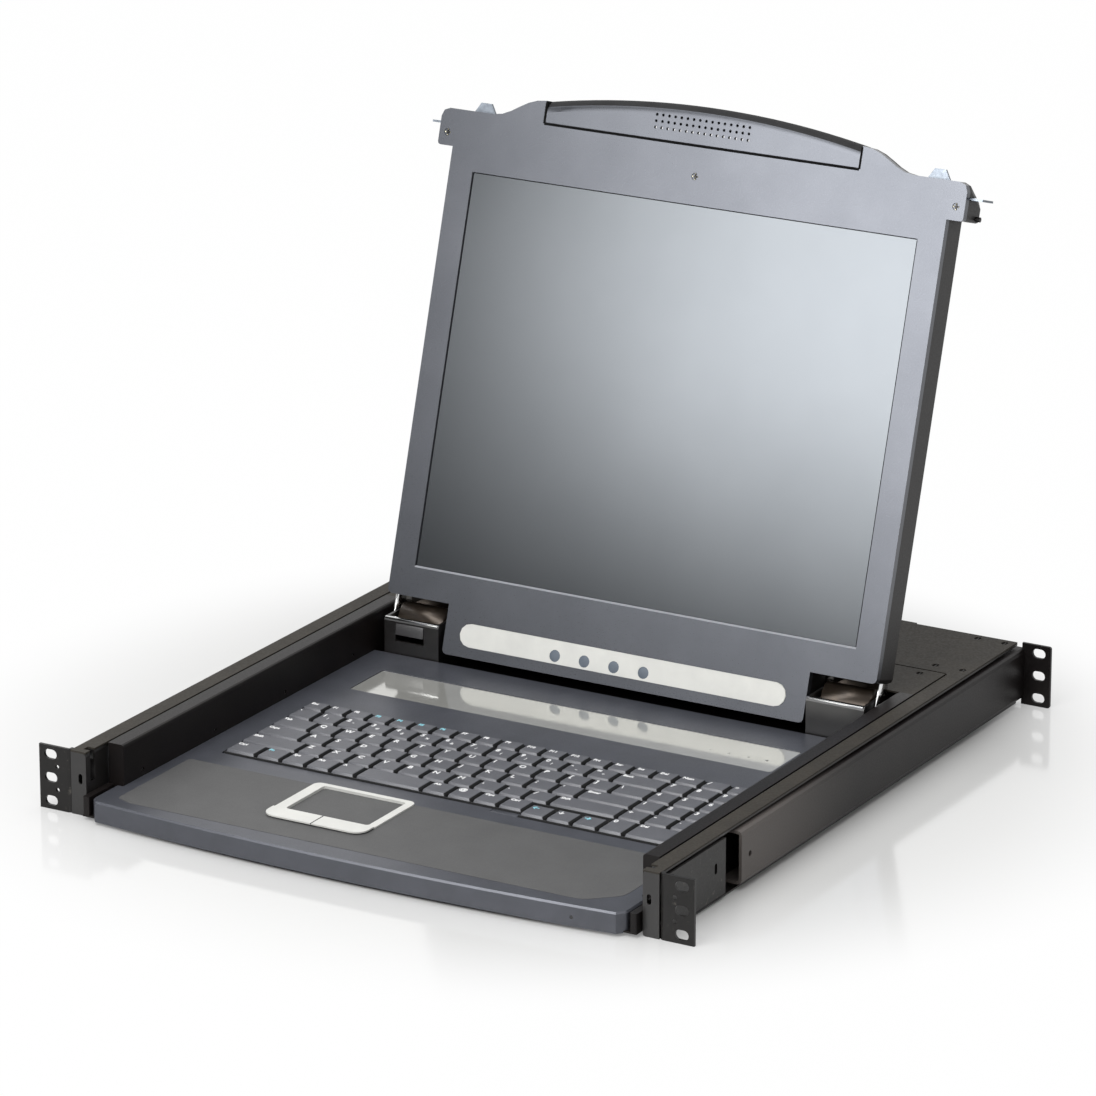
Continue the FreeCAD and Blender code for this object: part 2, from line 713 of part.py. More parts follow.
pad_hole = plate(
    rectangle(pad_left + 2.5, pad_right - 2.5, pad_frame_front + 2.5, pad_rear - 2.5),
    bezel_low - 1, bezel_top + 1, 4,
)
led_x = drawer_inner - 30
led_z = bezel_top - lip_depth / 2 - 1
led_y = -lip_corner - (lip_reach - lip_corner) * (1 - (led_x / lip_half) ** 2)
led_hole = peg(1.3, Vector(led_x, led_y - 3, led_z), BACK * 10, 10)
seam_posts = []
for x in (-drawer_inner + 14, 0, drawer_inner - 14):
    for y in (strip_front - 8, bezel_rear - 12):
        seam_posts.append(box(x - 3, x + 3, y - 3, y + 3, tray_top, bezel_low + 0.2))
bezel = moulding.cut([hollow, tray_space, wing_space, key_opening, film_seat, strip_seat, pad_hole, led_hole])
save("keyboard_bezel", union([bezel] + seam_posts))
save("power_led", peg(1.25, Vector(led_x, led_y + 0.4, led_z), BACK * (lip_wall + 0.6), 10))
film = plate(film_outline, bezel_top - film_depth, bezel_top + 0.15, film_radii)
save("palm_film", film.cut(pad_hole))
strip_glass = rectangle(strip_left + 0.2, strip_right - 0.2, strip_front + 0.2, strip_rear - 0.2)
save("status_strip", plate(strip_glass, bezel_top - strip_drop - 0.8, bezel_top - strip_drop, 1.8))

# ---- Touchpad: raised ring, its front band cut into two buttons
film_top = bezel_top + 0.15
ring_outline = rectangle(pad_left, pad_right, pad_frame_front, pad_rear)
ring = plate(ring_outline, film_top, film_top + pad_rise, [9, 9, 5, 5], 5)
button_rear = pad_frame_front + pad_button_depth
ring_mouth = plate(
    rectangle(pad_left + pad_border, pad_right - pad_border + 2.5, button_rear + 1.5, pad_rear - 4),
    bezel_low - 2, bezel_top + 4, 2,
)
button_zone = box(pad_left - 1, pad_right + 1, pad_frame_front - 1, button_rear, film_top - 1, film_top + 9)
neck_left = pad_left + 2.8
neck_right = pad_right - 2.8
frame_neck = plate(
    rectangle(neck_left, neck_right, button_rear + 0.2, pad_rear - 2.8), bezel_low - 1.2, film_top + 0.2, 3
)
touch_frame = union([ring.cut(button_zone), frame_neck]).cut(ring_mouth)
carrier_front = pad_frame_front + 2.8
carrier = box(neck_left, neck_right, carrier_front, button_rear + 0.4, bezel_low - 1.2, bezel_low - 0.2)
pads = []
for side in (-1, 1):
    pads.append(peg(2.0, Vector(pad_centre + side * 18, pad_frame_front + 8, bezel_low - 0.2), UP * 0.7, 8))
save("touchpad_frame", union([touch_frame, carrier] + pads))
pad_low = bezel_low - 1.2
pad_surface = plate(
    rectangle(pad_left + pad_border - 2, pad_right - pad_border + 4.2, button_rear + 0.6, pad_rear - 3),
    pad_low - 1.4, pad_low, 2,
)
pad_face = plate(
    rectangle(pad_left + pad_border + 0.2, pad_right - pad_border + 2.3, button_rear + 1.7, pad_rear - 4.2),
    pad_low, bezel_top - 0.6, 1.8,
)
save("touchpad_surface", union([pad_surface, pad_face]))
button_lift = pad_button_travel + 0.2
button_top = ring.common(box(pad_left - 1, pad_right + 1, pad_frame_front - 1, button_rear - 0.25, 0, 99))
button_top.translate(UP * button_lift)
stem_top = film_top + button_lift + 0.1
button_stem = box(pad_left + 8, pad_centre - 2, pad_frame_front + 4, button_rear - 2, bezel_low + 1.4, stem_top)
for name, side in (("left", -1), ("right", 1)):
    keep = box(pad_centre + side * 0.2, pad_centre + side * 60, 0, 90, 0, 99)
    stem = button_stem
    if side > 0:
        stem = button_stem.mirror(Vector(pad_centre, 0, 0), RIGHT)
    save("touchpad_button_" + name, union([button_top.common(keep), stem]))

# ---- Keyboard: base plate and six rows of tapered keys
rows = [
    ("function", [main_units / 17] * 17, letter_rows_rear, keys_rear),
    ("numbers", [1] * 13 + [1.87], letter_rows_rear - row_pitch, letter_rows_rear),
    ("upper", [1.5] + [1] * 12 + [1.37], letter_rows_rear - 2 * row_pitch, letter_rows_rear - row_pitch),
    ("home", [1.75] + [1] * 11 + [2.12], letter_rows_front + row_pitch, letter_rows_front + 2 * row_pitch),
    ("lower", [2.25] + [1] * 10 + [2.62], letter_rows_front, letter_rows_front + row_pitch),
    ("space", [1.25] + [1] * 4 + [2.62] + [1] * 3, keys_front + arrow_drop, letter_rows_front),
]


def key_cap(x0, x1, y0, y1):
    """One key: a tapered cap."""
    gap = key_gap / 2
    return frustum(x0 + gap, x1 - gap, y0 + gap, y1 - gap, key_low, key_low + key_height, key_taper)


def moving_key(x0, x1, y0, y1, post_spread):
    """A key with posts that reach down into its well, clear of the floor by its travel."""
    cap = key_cap(x0, x1, y0, y1)
    posts = []
    for offset in post_spread:
        x = (x0 + x1) / 2 + offset
        y = (y0 + y1) / 2
        posts.append(box(x - 3, x + 3, y - 3, y + 3, key_low - key_well + key_travel + 0.3, key_low))
    return union([cap] + posts)


wells = []


for name, widths, row_front, row_back in rows:
    keys = []
    x = keys_left
    for index, width in enumerate(widths):
        reach = x + width * key_pitch
        if name == "space" and index == 5:
            spread = (-14, 14)
            save("space_bar", moving_key(x, reach, row_front, row_back, spread))
            wells.append(box(x, reach, row_front, row_back, key_low - key_well, key_low + 1))
        elif name == "home" and index == 12:
            spread = (-10, 10)
            save("enter_key", moving_key(x, reach, row_front, row_back, spread))
            wells.append(box(x, reach, row_front, row_back, key_low - key_well, key_low + 1))
        else:
            keys.append(key_cap(x, reach, row_front, row_back))
        x = reach
    if name == "space":
        for index in range(3):
            keys.append(key_cap(x, x + key_pitch, keys_front, keys_front + row_pitch))
            x += key_pitch
        keys.append(key_cap(x, x + key_pitch, keys_front, row_back))
        keys.append(key_cap(x + key_pitch, keys_right, keys_front, row_back))
    else:
        for index in range(3):
            keys.append(key_cap(x, x + key_pitch, row_front, row_back))
            x += key_pitch
    save("keys_row_" + name, Part.makeCompound(keys))
base_low = key_low - key_well - 1.6
base_outline = [
    (keys_left, keys_front + arrow_drop), (arrow_left + recess_margin, keys_front + arrow_drop),
    (arrow_left + recess_margin, keys_front), (keys_right, keys_front),
    (keys_right, keys_rear), (keys_left, keys_rear),
]
key_base = plate(base_outline, base_low, key_low)
ribs = [box(x - 1, x + 1, keys_front + 12, keys_rear - 4, tray_top, base_low) for x in (-140, -70, 0, 70, 140)]
save("keyboard_base", union([key_base] + ribs).cut(wells))

# ---- Hinge pedestals, pins and the release tab, on the drawer
pedestal_in = middle_half + 2.5
pedestal_out = lid_half - 3.5
pedestal_top = unit_height - pedestal_top_gap
pedestal_rear = hinge_y + 11.8
front_wall = box(pedestal_in, pedestal_out, pedestal_front, pedestal_front + pedestal_wall, tray_top, pedestal_top)
cheek_outline = [
    (pedestal_front, tray_top), (pedestal_rear, tray_top), (pedestal_rear, hinge_z + 5),
    (pedestal_rear - 6, pedestal_top), (pedestal_front, pedestal_top),
]
cheeks = []
for x in (pedestal_in, pedestal_out - pedestal_wall):
    cheeks.append(side_piece(cheek_outline, x, x + pedestal_wall, [0, 0, 3, 4, 0]))
foot = box(pedestal_in, pedestal_out, pedestal_front, pedestal_rear, tray_top, tray_top + pedestal_wall)
pin_start = Vector(pedestal_in - 1.4, hinge_y, hinge_z)
pin_reach = RIGHT * (pedestal_out + 2.6 - pin_start.x)
pin = rod(hinge_pin_radius, pin_start, pin_reach)
pin_head = peg(hinge_pin_radius + 1.5, pin_start, RIGHT * 1.2, 12)
pin_bore = rod(hinge_pin_radius + 0.01, pin_start, pin_reach)
swept_start = Vector(pedestal_in - 1, hinge_y, hinge_z)
swept = rod(hinge_y - notch_y - 0.35, swept_start, RIGHT * (pedestal_out + 2 - pedestal_in))
lid_path = box(pedestal_in - 1, pedestal_out + 1, pedestal_front - 1, hinge_y, hinge_z, unit_height).cut(swept)
pedestal = union([front_wall, foot] + cheeks).cut([pin_bore, lid_path])
save("hinge_pedestal_right", pedestal)
pins = pin.fuse(pin_head).removeSplitter()
save("hinge_pins", Part.makeCompound([pins, mirrored(pins)]))
tab_width = 22.0
tab_height = 9.5
tab_travel = 3.0
tab_x = -(pedestal_in + pedestal_out) / 2 - 1.5
tab_top = pedestal_top - 3.5
tab_half = tab_width / 2
window = box(
    tab_x - tab_half - fit_gap, tab_x + tab_half + fit_gap, pedestal_front - 1, pedestal_front + 3,
    tab_top - tab_height - tab_travel - fit_gap, tab_top + fit_gap,
)
save("hinge_pedestal_left", mirrored(pedestal).cut(window))
tab_profile = [
    (pedestal_front, tab_top - tab_height), (pedestal_front + 1.6, tab_top - tab_height),
    (pedestal_front + 1.9, tab_top), (pedestal_front + 1.2, tab_top),
    (pedestal_front, tab_top - tab_height + 2.5),
]
save("release_tab", side_piece(tab_profile, tab_x - tab_half, tab_x + tab_half))

# ---- Lid, made closed over the keyboard and then opened about the hinge


def lid_edges(inset, drop):
    """Right-hand half of the lid's outline; drop lowers its top edge."""
    shift = Vector(0, screen_y, 0)
    corners = [
        (0, inset - screen_bottom), (middle_half - inset, inset - screen_bottom),
        (middle_half - inset, notch_top + inset), (lid_half - inset, notch_top + inset),
        (lid_half - inset, ear_low + inset), (lid_ear_half - inset, ear_low + inset),
        (lid_ear_half - inset, lid_top - inset - drop), (handle_half + 40, lid_top - inset - drop),
    ]
    outer = [Vector(x, -v, 0) + shift for x, v in corners]
    radii = [0, 0, 0, 0, 0, 6 - inset] if inset > 0 else [3, 0, 3, 0, 2, 6]
    edges = rounded_path(outer, radii)
    edge_of_handle = handle_half + fit_gap + inset
    shoulder_top = lid_top + shoulder_rise - inset - drop
    foot = edges[-1].Vertexes[-1].Point
    poles = [
        foot, Vector(foot.x - 15, foot.y, 0),
        Vector(edge_of_handle + 17.7, screen_y - shoulder_top, 0),
        Vector(edge_of_handle, screen_y - shoulder_top, 0),
    ]
    curve = Part.BezierCurve()
    curve.setPoles(poles)
    stops = curve.discretize(4 if inset > 0 else 7)
    edges += [Part.LineSegment(a, b).toShape() for a, b in zip(stops, stops[1:])]
    low = handle_low + handle_shift - fit_gap - inset
    inner = [poles[3], Vector(edge_of_handle, screen_y - low, 0), Vector(0, screen_y - low, 0)]
    return edges + rounded_path(inner, [3])


def lid_wire(inset, drop, z):
    """Closed outline of the lid at one height."""
    right = lid_edges(inset, drop)
    left = [edge.mirror(Vector(0, 0, 0), RIGHT) for edge in right]
    wire = Part.Wire(Part.__sortEdges__(right + left))
    wire.translate(UP * z)
    return wire


def lid_block(inset, low, high):
    return Part.Face(lid_wire(inset, 0, low)).extrude(UP * (high - low))


def v_box(x0, x1, v0, v1, z0, z1):
    """Box in the closed lid, v being the height above the screen's lower edge."""
    return box(x0, x1, screen_y - v0, screen_y - v1, z0, z1)


def opened(shape):
    """Turns a piece of the closed lid up to where it stands open."""
    turned = shape.copy()
    turned.rotate(Vector(0, hinge_y, hinge_z), RIGHT, -open_angle)
    return turned


slope = 10.0
slope_start = lid_seam + 3.0
shell = Part.makeLoft([lid_wire(0, 0, slope_start), lid_wire(0, slope, unit_height)], True, True)
shell = shell.fuse(lid_block(0, lid_seam, slope_start)).removeSplitter()
cavity_end = unit_height - lid_wall
cavity_slope = slope * (cavity_end - slope_start) / (unit_height - slope_start)
cavity = Part.makeLoft(
    [lid_wire(lid_wall, 0, slope_start), lid_wire(lid_wall, cavity_slope, cavity_end)], True, True
)
cavity = cavity.fuse(lid_block(lid_wall, lid_seam - 1, slope_start))
latch_v = ear_low + 14.6
latch_sheet = 1.5
blade_low = lid_seam + 0.4
blade_high = unit_height - 2.6
tab_inner = lid_ear_half - 35
tab_outer = lid_ear_half - 19
tab_z = lid_low + 11.5
slots = []
for side in (-1, 1):
    slots.append(v_box(side * (lid_half - 6), side * (lid_ear_half + 1), latch_v - 0.3, latch_v + latch_sheet + 0.3,
                       blade_low - 0.3, blade_high + 0.3))
    slots.append(v_box(side * (tab_inner - latch_travel - 0.5), side * (tab_outer + 0.5), lid_top - 14, lid_top + 5,
                       tab_z - 0.3, tab_z + 2.3))
leaf_low = unit_height - 2.1
leaf_high = unit_height - 0.2
arm_in = middle_half + 7
arm_out = lid_half - 7
leaf_end = notch_y - 14
for side in (-1, 1):
    slots.append(box(side * (arm_in - fit_gap), side * (arm_out + fit_gap), leaf_end - fit_gap, notch_y + 1,
                     leaf_low, unit_height + 1))
ledge = []
for side in (-1, 1):
    ledge.append(box(side * (arm_in - 2), side * (arm_out + 2), leaf_end - 3, notch_y - 0.5, leaf_low - 2, leaf_low))
lid_screw_places = [(0, screen_height + 19.6)]
for side in (-1, 1):
    lid_screw_places.append((side * (lid_ear_half - 6.5), ear_low + 9.1))
lid_posts = []
for x, v in lid_screw_places:
    lid_posts.append(peg(3.4, Vector(x, screen_y - v, lid_seam), UP * (cavity_end - lid_seam - 1), 6))
stud_places = []
for side in (-1, 1):
    start = Vector(side * (lid_ear_half - 0.5), screen_y - ear_low - 2.8, unit_height - 4.2)
    stud_places.append(peg(1.8, start, RIGHT * (side * 3.5), 8))
shell = union([shell.cut(cavity)] + lid_posts + ledge).cut(slots)
shell = union([shell] + stud_places)
save("lcd_shell", opened(shell))

# ---- Lid: front bezel with the screen opening
frame_thick = 2.2
frame_top = lid_low + frame_thick
lid_frame = lid_block(0, lid_low, lid_seam).cut(lid_block(lid_wall, frame_top, lid_seam + 1))
corner_low = [(-screen_half, 0), (screen_half, 0), (screen_half, screen_height), (-screen_half, screen_height)]


def screen_wire(grow, z):
    points = []
    for x, v in corner_low:
        across = grow if x > 0 else -grow
        upwards = grow if v > 0 else -grow
        points.append(Vector(x + across, screen_y - v - upwards, z))
    return Part.makePolygon(points + points[:1])


opening_ends = [screen_wire(0.7, lid_low - 0.01), screen_wire(0, frame_top + 0.01)]
screen_opening = Part.makeLoft(opening_ends, True, True)
screen_well = v_box(-screen_half, screen_half, 0, screen_height, frame_top - 0.5, lid_seam + 1)
osd_v = -43.1
osd_sides = 14
osd_places = [osd_pitch * (i - 1.5) - 17.8 for i in range(4)]
strip_centre = screen_y + 40.5
strip_length = 251.0
strip_height = 16.0
strip_edge = 0.9
seat_depth = UP * (1 + strip_edge)
osd_seat = oval(-1.5, strip_centre, lid_low - 1, strip_length + 0.4, strip_height + 0.4, RIGHT, seat_depth)
button_bores = []
for x in osd_places:
    button_bores.append(peg(osd_radius + 0.15, Vector(x, screen_y - osd_v, lid_low - 2), UP * 6, osd_sides))
screw_wells = []
for x, v in lid_screw_places:
    screw_wells.append(peg(2.6, Vector(x, screen_y - v, lid_low - 1), UP * 1.8, screw_sides))
frame_posts = []
for x, v in lid_screw_places:
    foot_start = Vector(x, screen_y - v, frame_top - 0.1)
    frame_posts.append(peg(3.4, foot_start, UP * (lid_seam - foot_start.z), 6))
lid_frame = union([lid_frame] + frame_posts)
lid_frame = lid_frame.cut([screen_opening, screen_well, osd_seat] + button_bores + screw_wells)
save("lcd_bezel", opened(lid_frame))
lid_screws = []
for x, v in lid_screw_places:
    lid_screws.append(opened(peg(2.4, Vector(x, screen_y - v, lid_low + 0.15), UP * 0.65, screw_sides)))
save("lid_screws", Part.makeCompound(lid_screws))

# ---- Lid: display panel, its control board, the button strip and buttons
panel_margin = 4.0
panel = v_box(
    -screen_half - panel_margin, screen_half + panel_margin, -panel_margin, screen_height + panel_margin,
    frame_top + 0.05, frame_top + 9,
)
panel_back = v_box(
    -screen_half + 10, screen_half - 10, 12, screen_height - 12, frame_top + 9, cavity_end - 0.1,
)
panel_face = v_box(
    -screen_half + 0.3, screen_half - 0.3, 0.3, screen_height - 0.3, lid_low + screen_sink, frame_top + 0.1,
)
save("lcd_screen", opened(union([panel, panel_back, panel_face])))
osd_strip = oval(-1.5, strip_centre, lid_low - 0.3, strip_length, strip_height, RIGHT, UP * (strip_edge + 0.3))
save("osd_strip", opened(osd_strip.cut(button_bores)))
board_z = lid_seam + 1.0
lid_board = v_box(-110, 110, 3 - screen_bottom + lid_wall + 1, -panel_margin - 3, board_z, board_z + 1.6)
board_feet = []
for x in (-104, 104):
    for v in (-screen_bottom + 9, -panel_margin - 8):
        foot_start = Vector(x, screen_y - v, board_z + 1.6)
        board_feet.append(peg(2.5, foot_start, UP * (cavity_end - foot_start.z), 4))
switches = []
button_flange = frame_top + osd_travel + 0.9
for x in osd_places:
    switch_start = Vector(x, screen_y - osd_v, button_flange + 0.3)
    switches.append(peg(1.6, switch_start, UP * (board_z - button_flange), 4))
lid_chips = [v_box(x, x + 18, -48, -30, board_z + 1.6, board_z + 3.6) for x in (40, 74)]
save("lcd_control_board", opened(union([lid_board] + board_feet + switches + lid_chips)))
for index, x in enumerate(osd_places):
    start = Vector(x, screen_y - osd_v, lid_low - 1.1)
    button = peg(osd_radius, start, UP * (frame_top + 1.0 - start.z), osd_sides)
    button = button.makeChamfer(0.5, [e for e in button.Edges if e.BoundBox.ZMax < start.z + 0.01])
    collar = peg(osd_radius + 0.9, Vector(x, screen_y - osd_v, frame_top + 0.1), UP * 0.8, 8)
    save("osd_button_" + str(index + 1), opened(union([button, collar])))

# ---- Lid: handle with its perforated front
handle_points = [
    Vector(-handle_half, screen_y - handle_end - handle_shift, lid_low + 0.3),
    Vector(-handle_half, screen_y - handle_low - handle_shift, lid_low + 0.3),
    Vector(handle_half, screen_y - handle_low - handle_shift, lid_low + 0.3),
    Vector(handle_half, screen_y - handle_end - handle_shift, lid_low + 0.3),
]
handle_arc = Part.Arc(
    handle_points[3], Vector(0, screen_y - handle_crown - handle_shift, lid_low + 0.3), handle_points[0]
).toShape()
handle_face = Part.Face(Part.Wire(rounded_path(handle_points, [3, 3]) + [handle_arc]))
handle_thick = 19.0
handle = handle_face.extrude(UP * handle_thick)
gap_depth = 6.0
gap_high = lid_low + gap_depth
handle_foot = handle_low + handle_shift
handle_gaps = [v_box(-handle_half, handle_half, handle_foot - 1, handle_foot + handle_gap, lid_low, gap_high)]
for side in (-1, 1):
    inner_end = side * (handle_half - handle_gap)
    outer_end = side * (handle_half + 1)
    handle_gaps.append(v_box(inner_end, outer_end, handle_foot - 1, handle_foot + 40, lid_low, gap_high))
crown_edges = []
for edge in handle.Edges:
    reach = edge.BoundBox
    if reach.XLength > 200 and reach.YMin < screen_y - handle_end - handle_shift - 5:
        crown_edges.append(edge)
handle = handle.makeFillet(handle_round, crown_edges).cut(handle_gaps)
handle_hollow = v_box(
    -handle_half + 4, handle_half - 4, handle_foot + 3.2, handle_end + handle_shift - 4,
    lid_low + 2.8, lid_low + handle_thick + 5,
)
handle_vents = []
vent_v = handle_foot + 8.4
for row in range(vent_rows):
    for column in range(vent_columns):
        x = (column - (vent_columns - 1) / 2) * vent_pitch_x
        start = Vector(x, screen_y - vent_v - row * vent_pitch_y, lid_low)
        handle_vents.append(peg(vent_radius, start, UP * 3.2, 6))
save("lid_handle", opened(handle.cut([handle_hollow] + handle_vents)))

# ---- Lid: spring latches that drop into the side channels
for name, side in (("left", -1), ("right", 1)):
    blade = v_box(side * (lid_ear_half - 6), side * (lid_ear_half + latch_reach), latch_v, latch_v + latch_sheet,
                  blade_low, blade_high)
    bar = v_box(side * tab_inner, side * (lid_ear_half - 5), latch_v - 0.5, latch_v + latch_sheet,
                blade_low, tab_z + 4)
    finger_corners = [
        (tab_inner, latch_v), (tab_outer, latch_v), (tab_outer, lid_top),
        (tab_outer - 4, lid_top + 6.6), (tab_inner + 4, lid_top + 6.6), (tab_inner, lid_top),
    ]
    finger_outline = [Vector(side * x, screen_y - v, tab_z) for x, v in finger_corners]
    finger = rounded_face(finger_outline, 0).extrude(UP * 2)
    save("latch_" + name, opened(union([blade, bar, finger])))

# ---- Lid: hinge arms on the pins, each with a leaf let into the shell


def tangent_bar(first, radius_1, second, radius_2, left, right):
    """Egg-shaped lever: two round ends joined by their tangents."""
    away = second - first
    spread = math.acos((radius_1 - radius_2) / away.Length)
    heading = math.atan2(away.z, away.y)
    corners = []
    ends = [
        (first, radius_1, heading + spread, 2 * math.pi - 2 * spread),
        (second, radius_2, heading - spread, 2 * spread),
    ]
    for centre, radius, begin, sweep in ends:
        for step in range(7):
            angle = begin + sweep * step / 6
            corners.append((centre.y + radius * math.cos(angle), centre.z + radius * math.sin(angle)))
    return side_piece(corners, left, right)


pivot = Vector(0, hinge_y, hinge_z)
leaf_centre = Vector(0, hinge_y - 6.5, leaf_high - 8)
arm = tangent_bar(pivot, 7.0, leaf_centre, 8.0, arm_in, arm_out)
leaf = box(arm_in, arm_out, leaf_end, leaf_centre.y, leaf_low, leaf_high)
end_plate_low = pedestal_out + 0.5
plate_end = Vector(0, hinge_y - 12, hinge_z + 2)
end_plate = tangent_bar(pivot, 5.5, plate_end, 6.0, end_plate_low, end_plate_low + 1.5)
end_plate_tail = box(end_plate_low, end_plate_low + 1.5, notch_y, hinge_y - 12, hinge_z - 4, hinge_z + 8)
arm_bore = rod(hinge_pin_radius + hinge_pin_fit, pivot, RIGHT * (half))
right_arm = union([arm, leaf]).cut(arm_bore)
right_plate = union([end_plate, end_plate_tail]).cut(arm_bore)
arms = [opened(piece) for piece in (right_arm, right_plate, mirrored(right_arm), mirrored(right_plate))]
save("hinge_arms", Part.makeCompound(arms))
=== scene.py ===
"""Rackmount LCD console drawer: finishes, keys, lettering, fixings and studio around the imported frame."""
import math

import bmesh
import bpy
from mathutils import Matrix, Vector


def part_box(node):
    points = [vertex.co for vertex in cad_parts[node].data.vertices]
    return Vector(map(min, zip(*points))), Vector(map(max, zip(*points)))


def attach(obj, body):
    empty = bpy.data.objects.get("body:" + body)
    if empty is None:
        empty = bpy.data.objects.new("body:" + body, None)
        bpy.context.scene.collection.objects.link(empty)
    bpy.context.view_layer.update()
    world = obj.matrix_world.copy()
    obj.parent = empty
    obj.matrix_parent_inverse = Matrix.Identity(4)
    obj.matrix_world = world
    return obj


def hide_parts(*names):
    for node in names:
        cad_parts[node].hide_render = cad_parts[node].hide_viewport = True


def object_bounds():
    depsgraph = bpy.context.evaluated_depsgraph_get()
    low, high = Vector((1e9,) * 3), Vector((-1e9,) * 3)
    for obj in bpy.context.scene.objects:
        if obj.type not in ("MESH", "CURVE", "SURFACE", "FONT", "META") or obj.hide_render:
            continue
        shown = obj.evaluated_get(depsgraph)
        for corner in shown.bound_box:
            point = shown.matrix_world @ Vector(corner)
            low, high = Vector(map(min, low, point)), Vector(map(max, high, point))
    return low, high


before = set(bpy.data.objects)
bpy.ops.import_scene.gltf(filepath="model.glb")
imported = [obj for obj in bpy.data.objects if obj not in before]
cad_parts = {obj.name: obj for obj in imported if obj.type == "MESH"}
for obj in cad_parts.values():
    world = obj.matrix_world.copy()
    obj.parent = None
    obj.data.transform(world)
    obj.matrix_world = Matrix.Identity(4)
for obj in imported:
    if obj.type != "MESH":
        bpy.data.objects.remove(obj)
cad_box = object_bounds()

# ---- Studio: white laminate table, soft lamps, camera
# The drawer stands on a glossy white laminate sheet, so it throws a soft shadow
# and a faint mirror image.  A graded white card stands front left, where only
# reflections find it, and gives the open lid its sweep from dark to light.
# Lengths are in metres, and MM turns millimetres into them.
MM = 0.001
table_height = cad_box[0][2] - 0.05 * MM


def linear(code):
    """Linear colour of an sRGB hex value."""
    parts = [int(code[i:i + 2], 16) / 255 for i in (1, 3, 5)]
    return [p / 12.92 if p <= 0.04045 else ((p + 0.055) / 1.055) ** 2.4 for p in parts] + [1.0]


def add(tree, kind, settings, links=None):
    """Adds a node, sets its properties, sockets and ramp stops, and links the sockets named in links."""
    node = tree.nodes.new("ShaderNode" + kind)
    for name, value in settings.items():
        if name == "ramp":
            for stop, (place, code) in zip(node.color_ramp.elements, value):
                stop.position = place
                stop.color = linear(code)
        elif isinstance(name, int) or name in node.inputs:
            node.inputs[name].default_value = value
        else:
            setattr(node, name, value)
    for name, source in (links or {}).items():
        tree.links.new(source, node.inputs[name])
    return node


def blank(name, kind="materials"):
    """New material or world with an empty node tree."""
    holder = getattr(bpy.data, kind).new(name)
    holder.use_nodes = True
    holder.node_tree.nodes.clear()
    return holder, holder.node_tree


def flat_piece(name, shape, *materials):
    """Turns a bmesh into an object at the origin with these materials."""
    mesh = bpy.data.meshes.new(name)
    shape.to_mesh(mesh)
    shape.free()
    for material in materials:
        mesh.materials.append(material)
    piece = bpy.data.objects.new(name, mesh)
    bpy.context.scene.collection.objects.link(piece)
    return piece


def seen_straight(tree):
    """1 for what is seen straight, in a mirror or through glass, and 0 for light that falls on things."""
    rays = add(tree, "LightPath", {})
    seen = add(tree, "Math", {"operation": "MAXIMUM"},
               {0: rays.outputs["Is Camera Ray"], 1: rays.outputs["Is Glossy Ray"]})
    return add(tree, "Math", {"operation": "MAXIMUM"},
               {0: seen.outputs[0], 1: rays.outputs["Is Transmission Ray"]}).outputs[0]


def smooth_step(tree, value, start, end, low, high):
    """Rises smoothly from low at start to high at end, as value goes from one to the other."""
    limits = {"From Min": start, "From Max": end, "To Min": low, "To Max": high}
    step = add(tree, "MapRange", {"interpolation_type": "SMOOTHSTEP"} | limits, {"Value": value})
    return step.outputs["Result"]


# Gloss shows close to the drawer, and further out the sheet turns plain white.
drawer_middle = (0, 0.25, table_height)
gloss_end = 0.27
white_start = 0.44
laminate, tree = blank("laminate_white_gloss")
place = add(tree, "TexCoord", {}).outputs["Object"]
away = add(tree, "VectorMath", {"operation": "DISTANCE", 1: drawer_middle}, {0: place})
spread = smooth_step(tree, away.outputs["Value"], gloss_end, white_start, 0.0, 0.99)
share = add(tree, "Math", {"operation": "MULTIPLY"}, {0: seen_straight(tree), 1: spread})
sheet = add(tree, "BsdfPrincipled", {"Base Color": linear("#cdcdcc"), "Roughness": 0.10, "IOR": 1.8})
glow = add(tree, "Emission", {"Color": (1, 1, 1, 1), "Strength": 1.0})
mix = add(tree, "MixShader", {},
          {"Fac": share.outputs["Value"], 1: sheet.outputs["BSDF"], 2: glow.outputs["Emission"]})
add(tree, "OutputMaterial", {}, {"Surface": mix.outputs["Shader"]})
shape = bmesh.new()
table_half = 12
table_back = 2
bmesh.ops.create_grid(shape, x_segments=1, y_segments=1, size=table_half)
bmesh.ops.translate(shape, verts=shape.verts, vec=(0, table_back, table_height))
table_top = flat_piece("table_top", shape, laminate)

# The room lights things at half the brightness that it shows.
studio, tree = blank("studio", "worlds")
bpy.context.scene.world = studio
level = add(tree, "MapRange", {"To Min": 0.5, "To Max": 1.0}, {"Value": seen_straight(tree)})
sky = add(tree, "Background", {"Color": (1, 1, 1, 1)}, {"Strength": level.outputs["Result"]})
add(tree, "OutputWorld", {}, {"Surface": sky.outputs["Background"]})
bpy.context.scene.view_settings.view_transform = "Standard"


def panel_lamp(name, place, target, width, height, power):
    """Soft rectangular lamp that faces a point and that the camera doesn't see."""
    lamp = bpy.data.lights.new(name, "AREA")
    lamp.shape = "RECTANGLE"
    lamp.size = width
    lamp.size_y = height
    lamp.energy = power
    holder = bpy.data.objects.new(name, lamp)
    holder.location = place
    holder.rotation_euler = (Vector(target) - Vector(place)).to_track_quat("-Z", "Y").to_euler()
    holder.visible_camera = False
    bpy.context.scene.collection.objects.link(holder)


panel_lamp("panel_front", (-0.15, -1.15, 1.1), (0, 0.35, 0.15), 1.1, 0.8, 16)
panel_lamp("panel_top", (-0.1, 0.3, 2.2), (0, 0.2, 0), 2.2, 2.2, 28)
panel_lamp("panel_edge", (0, -0.85, 2.1), (0, 0, 0), 2.4, 0.25, 9)

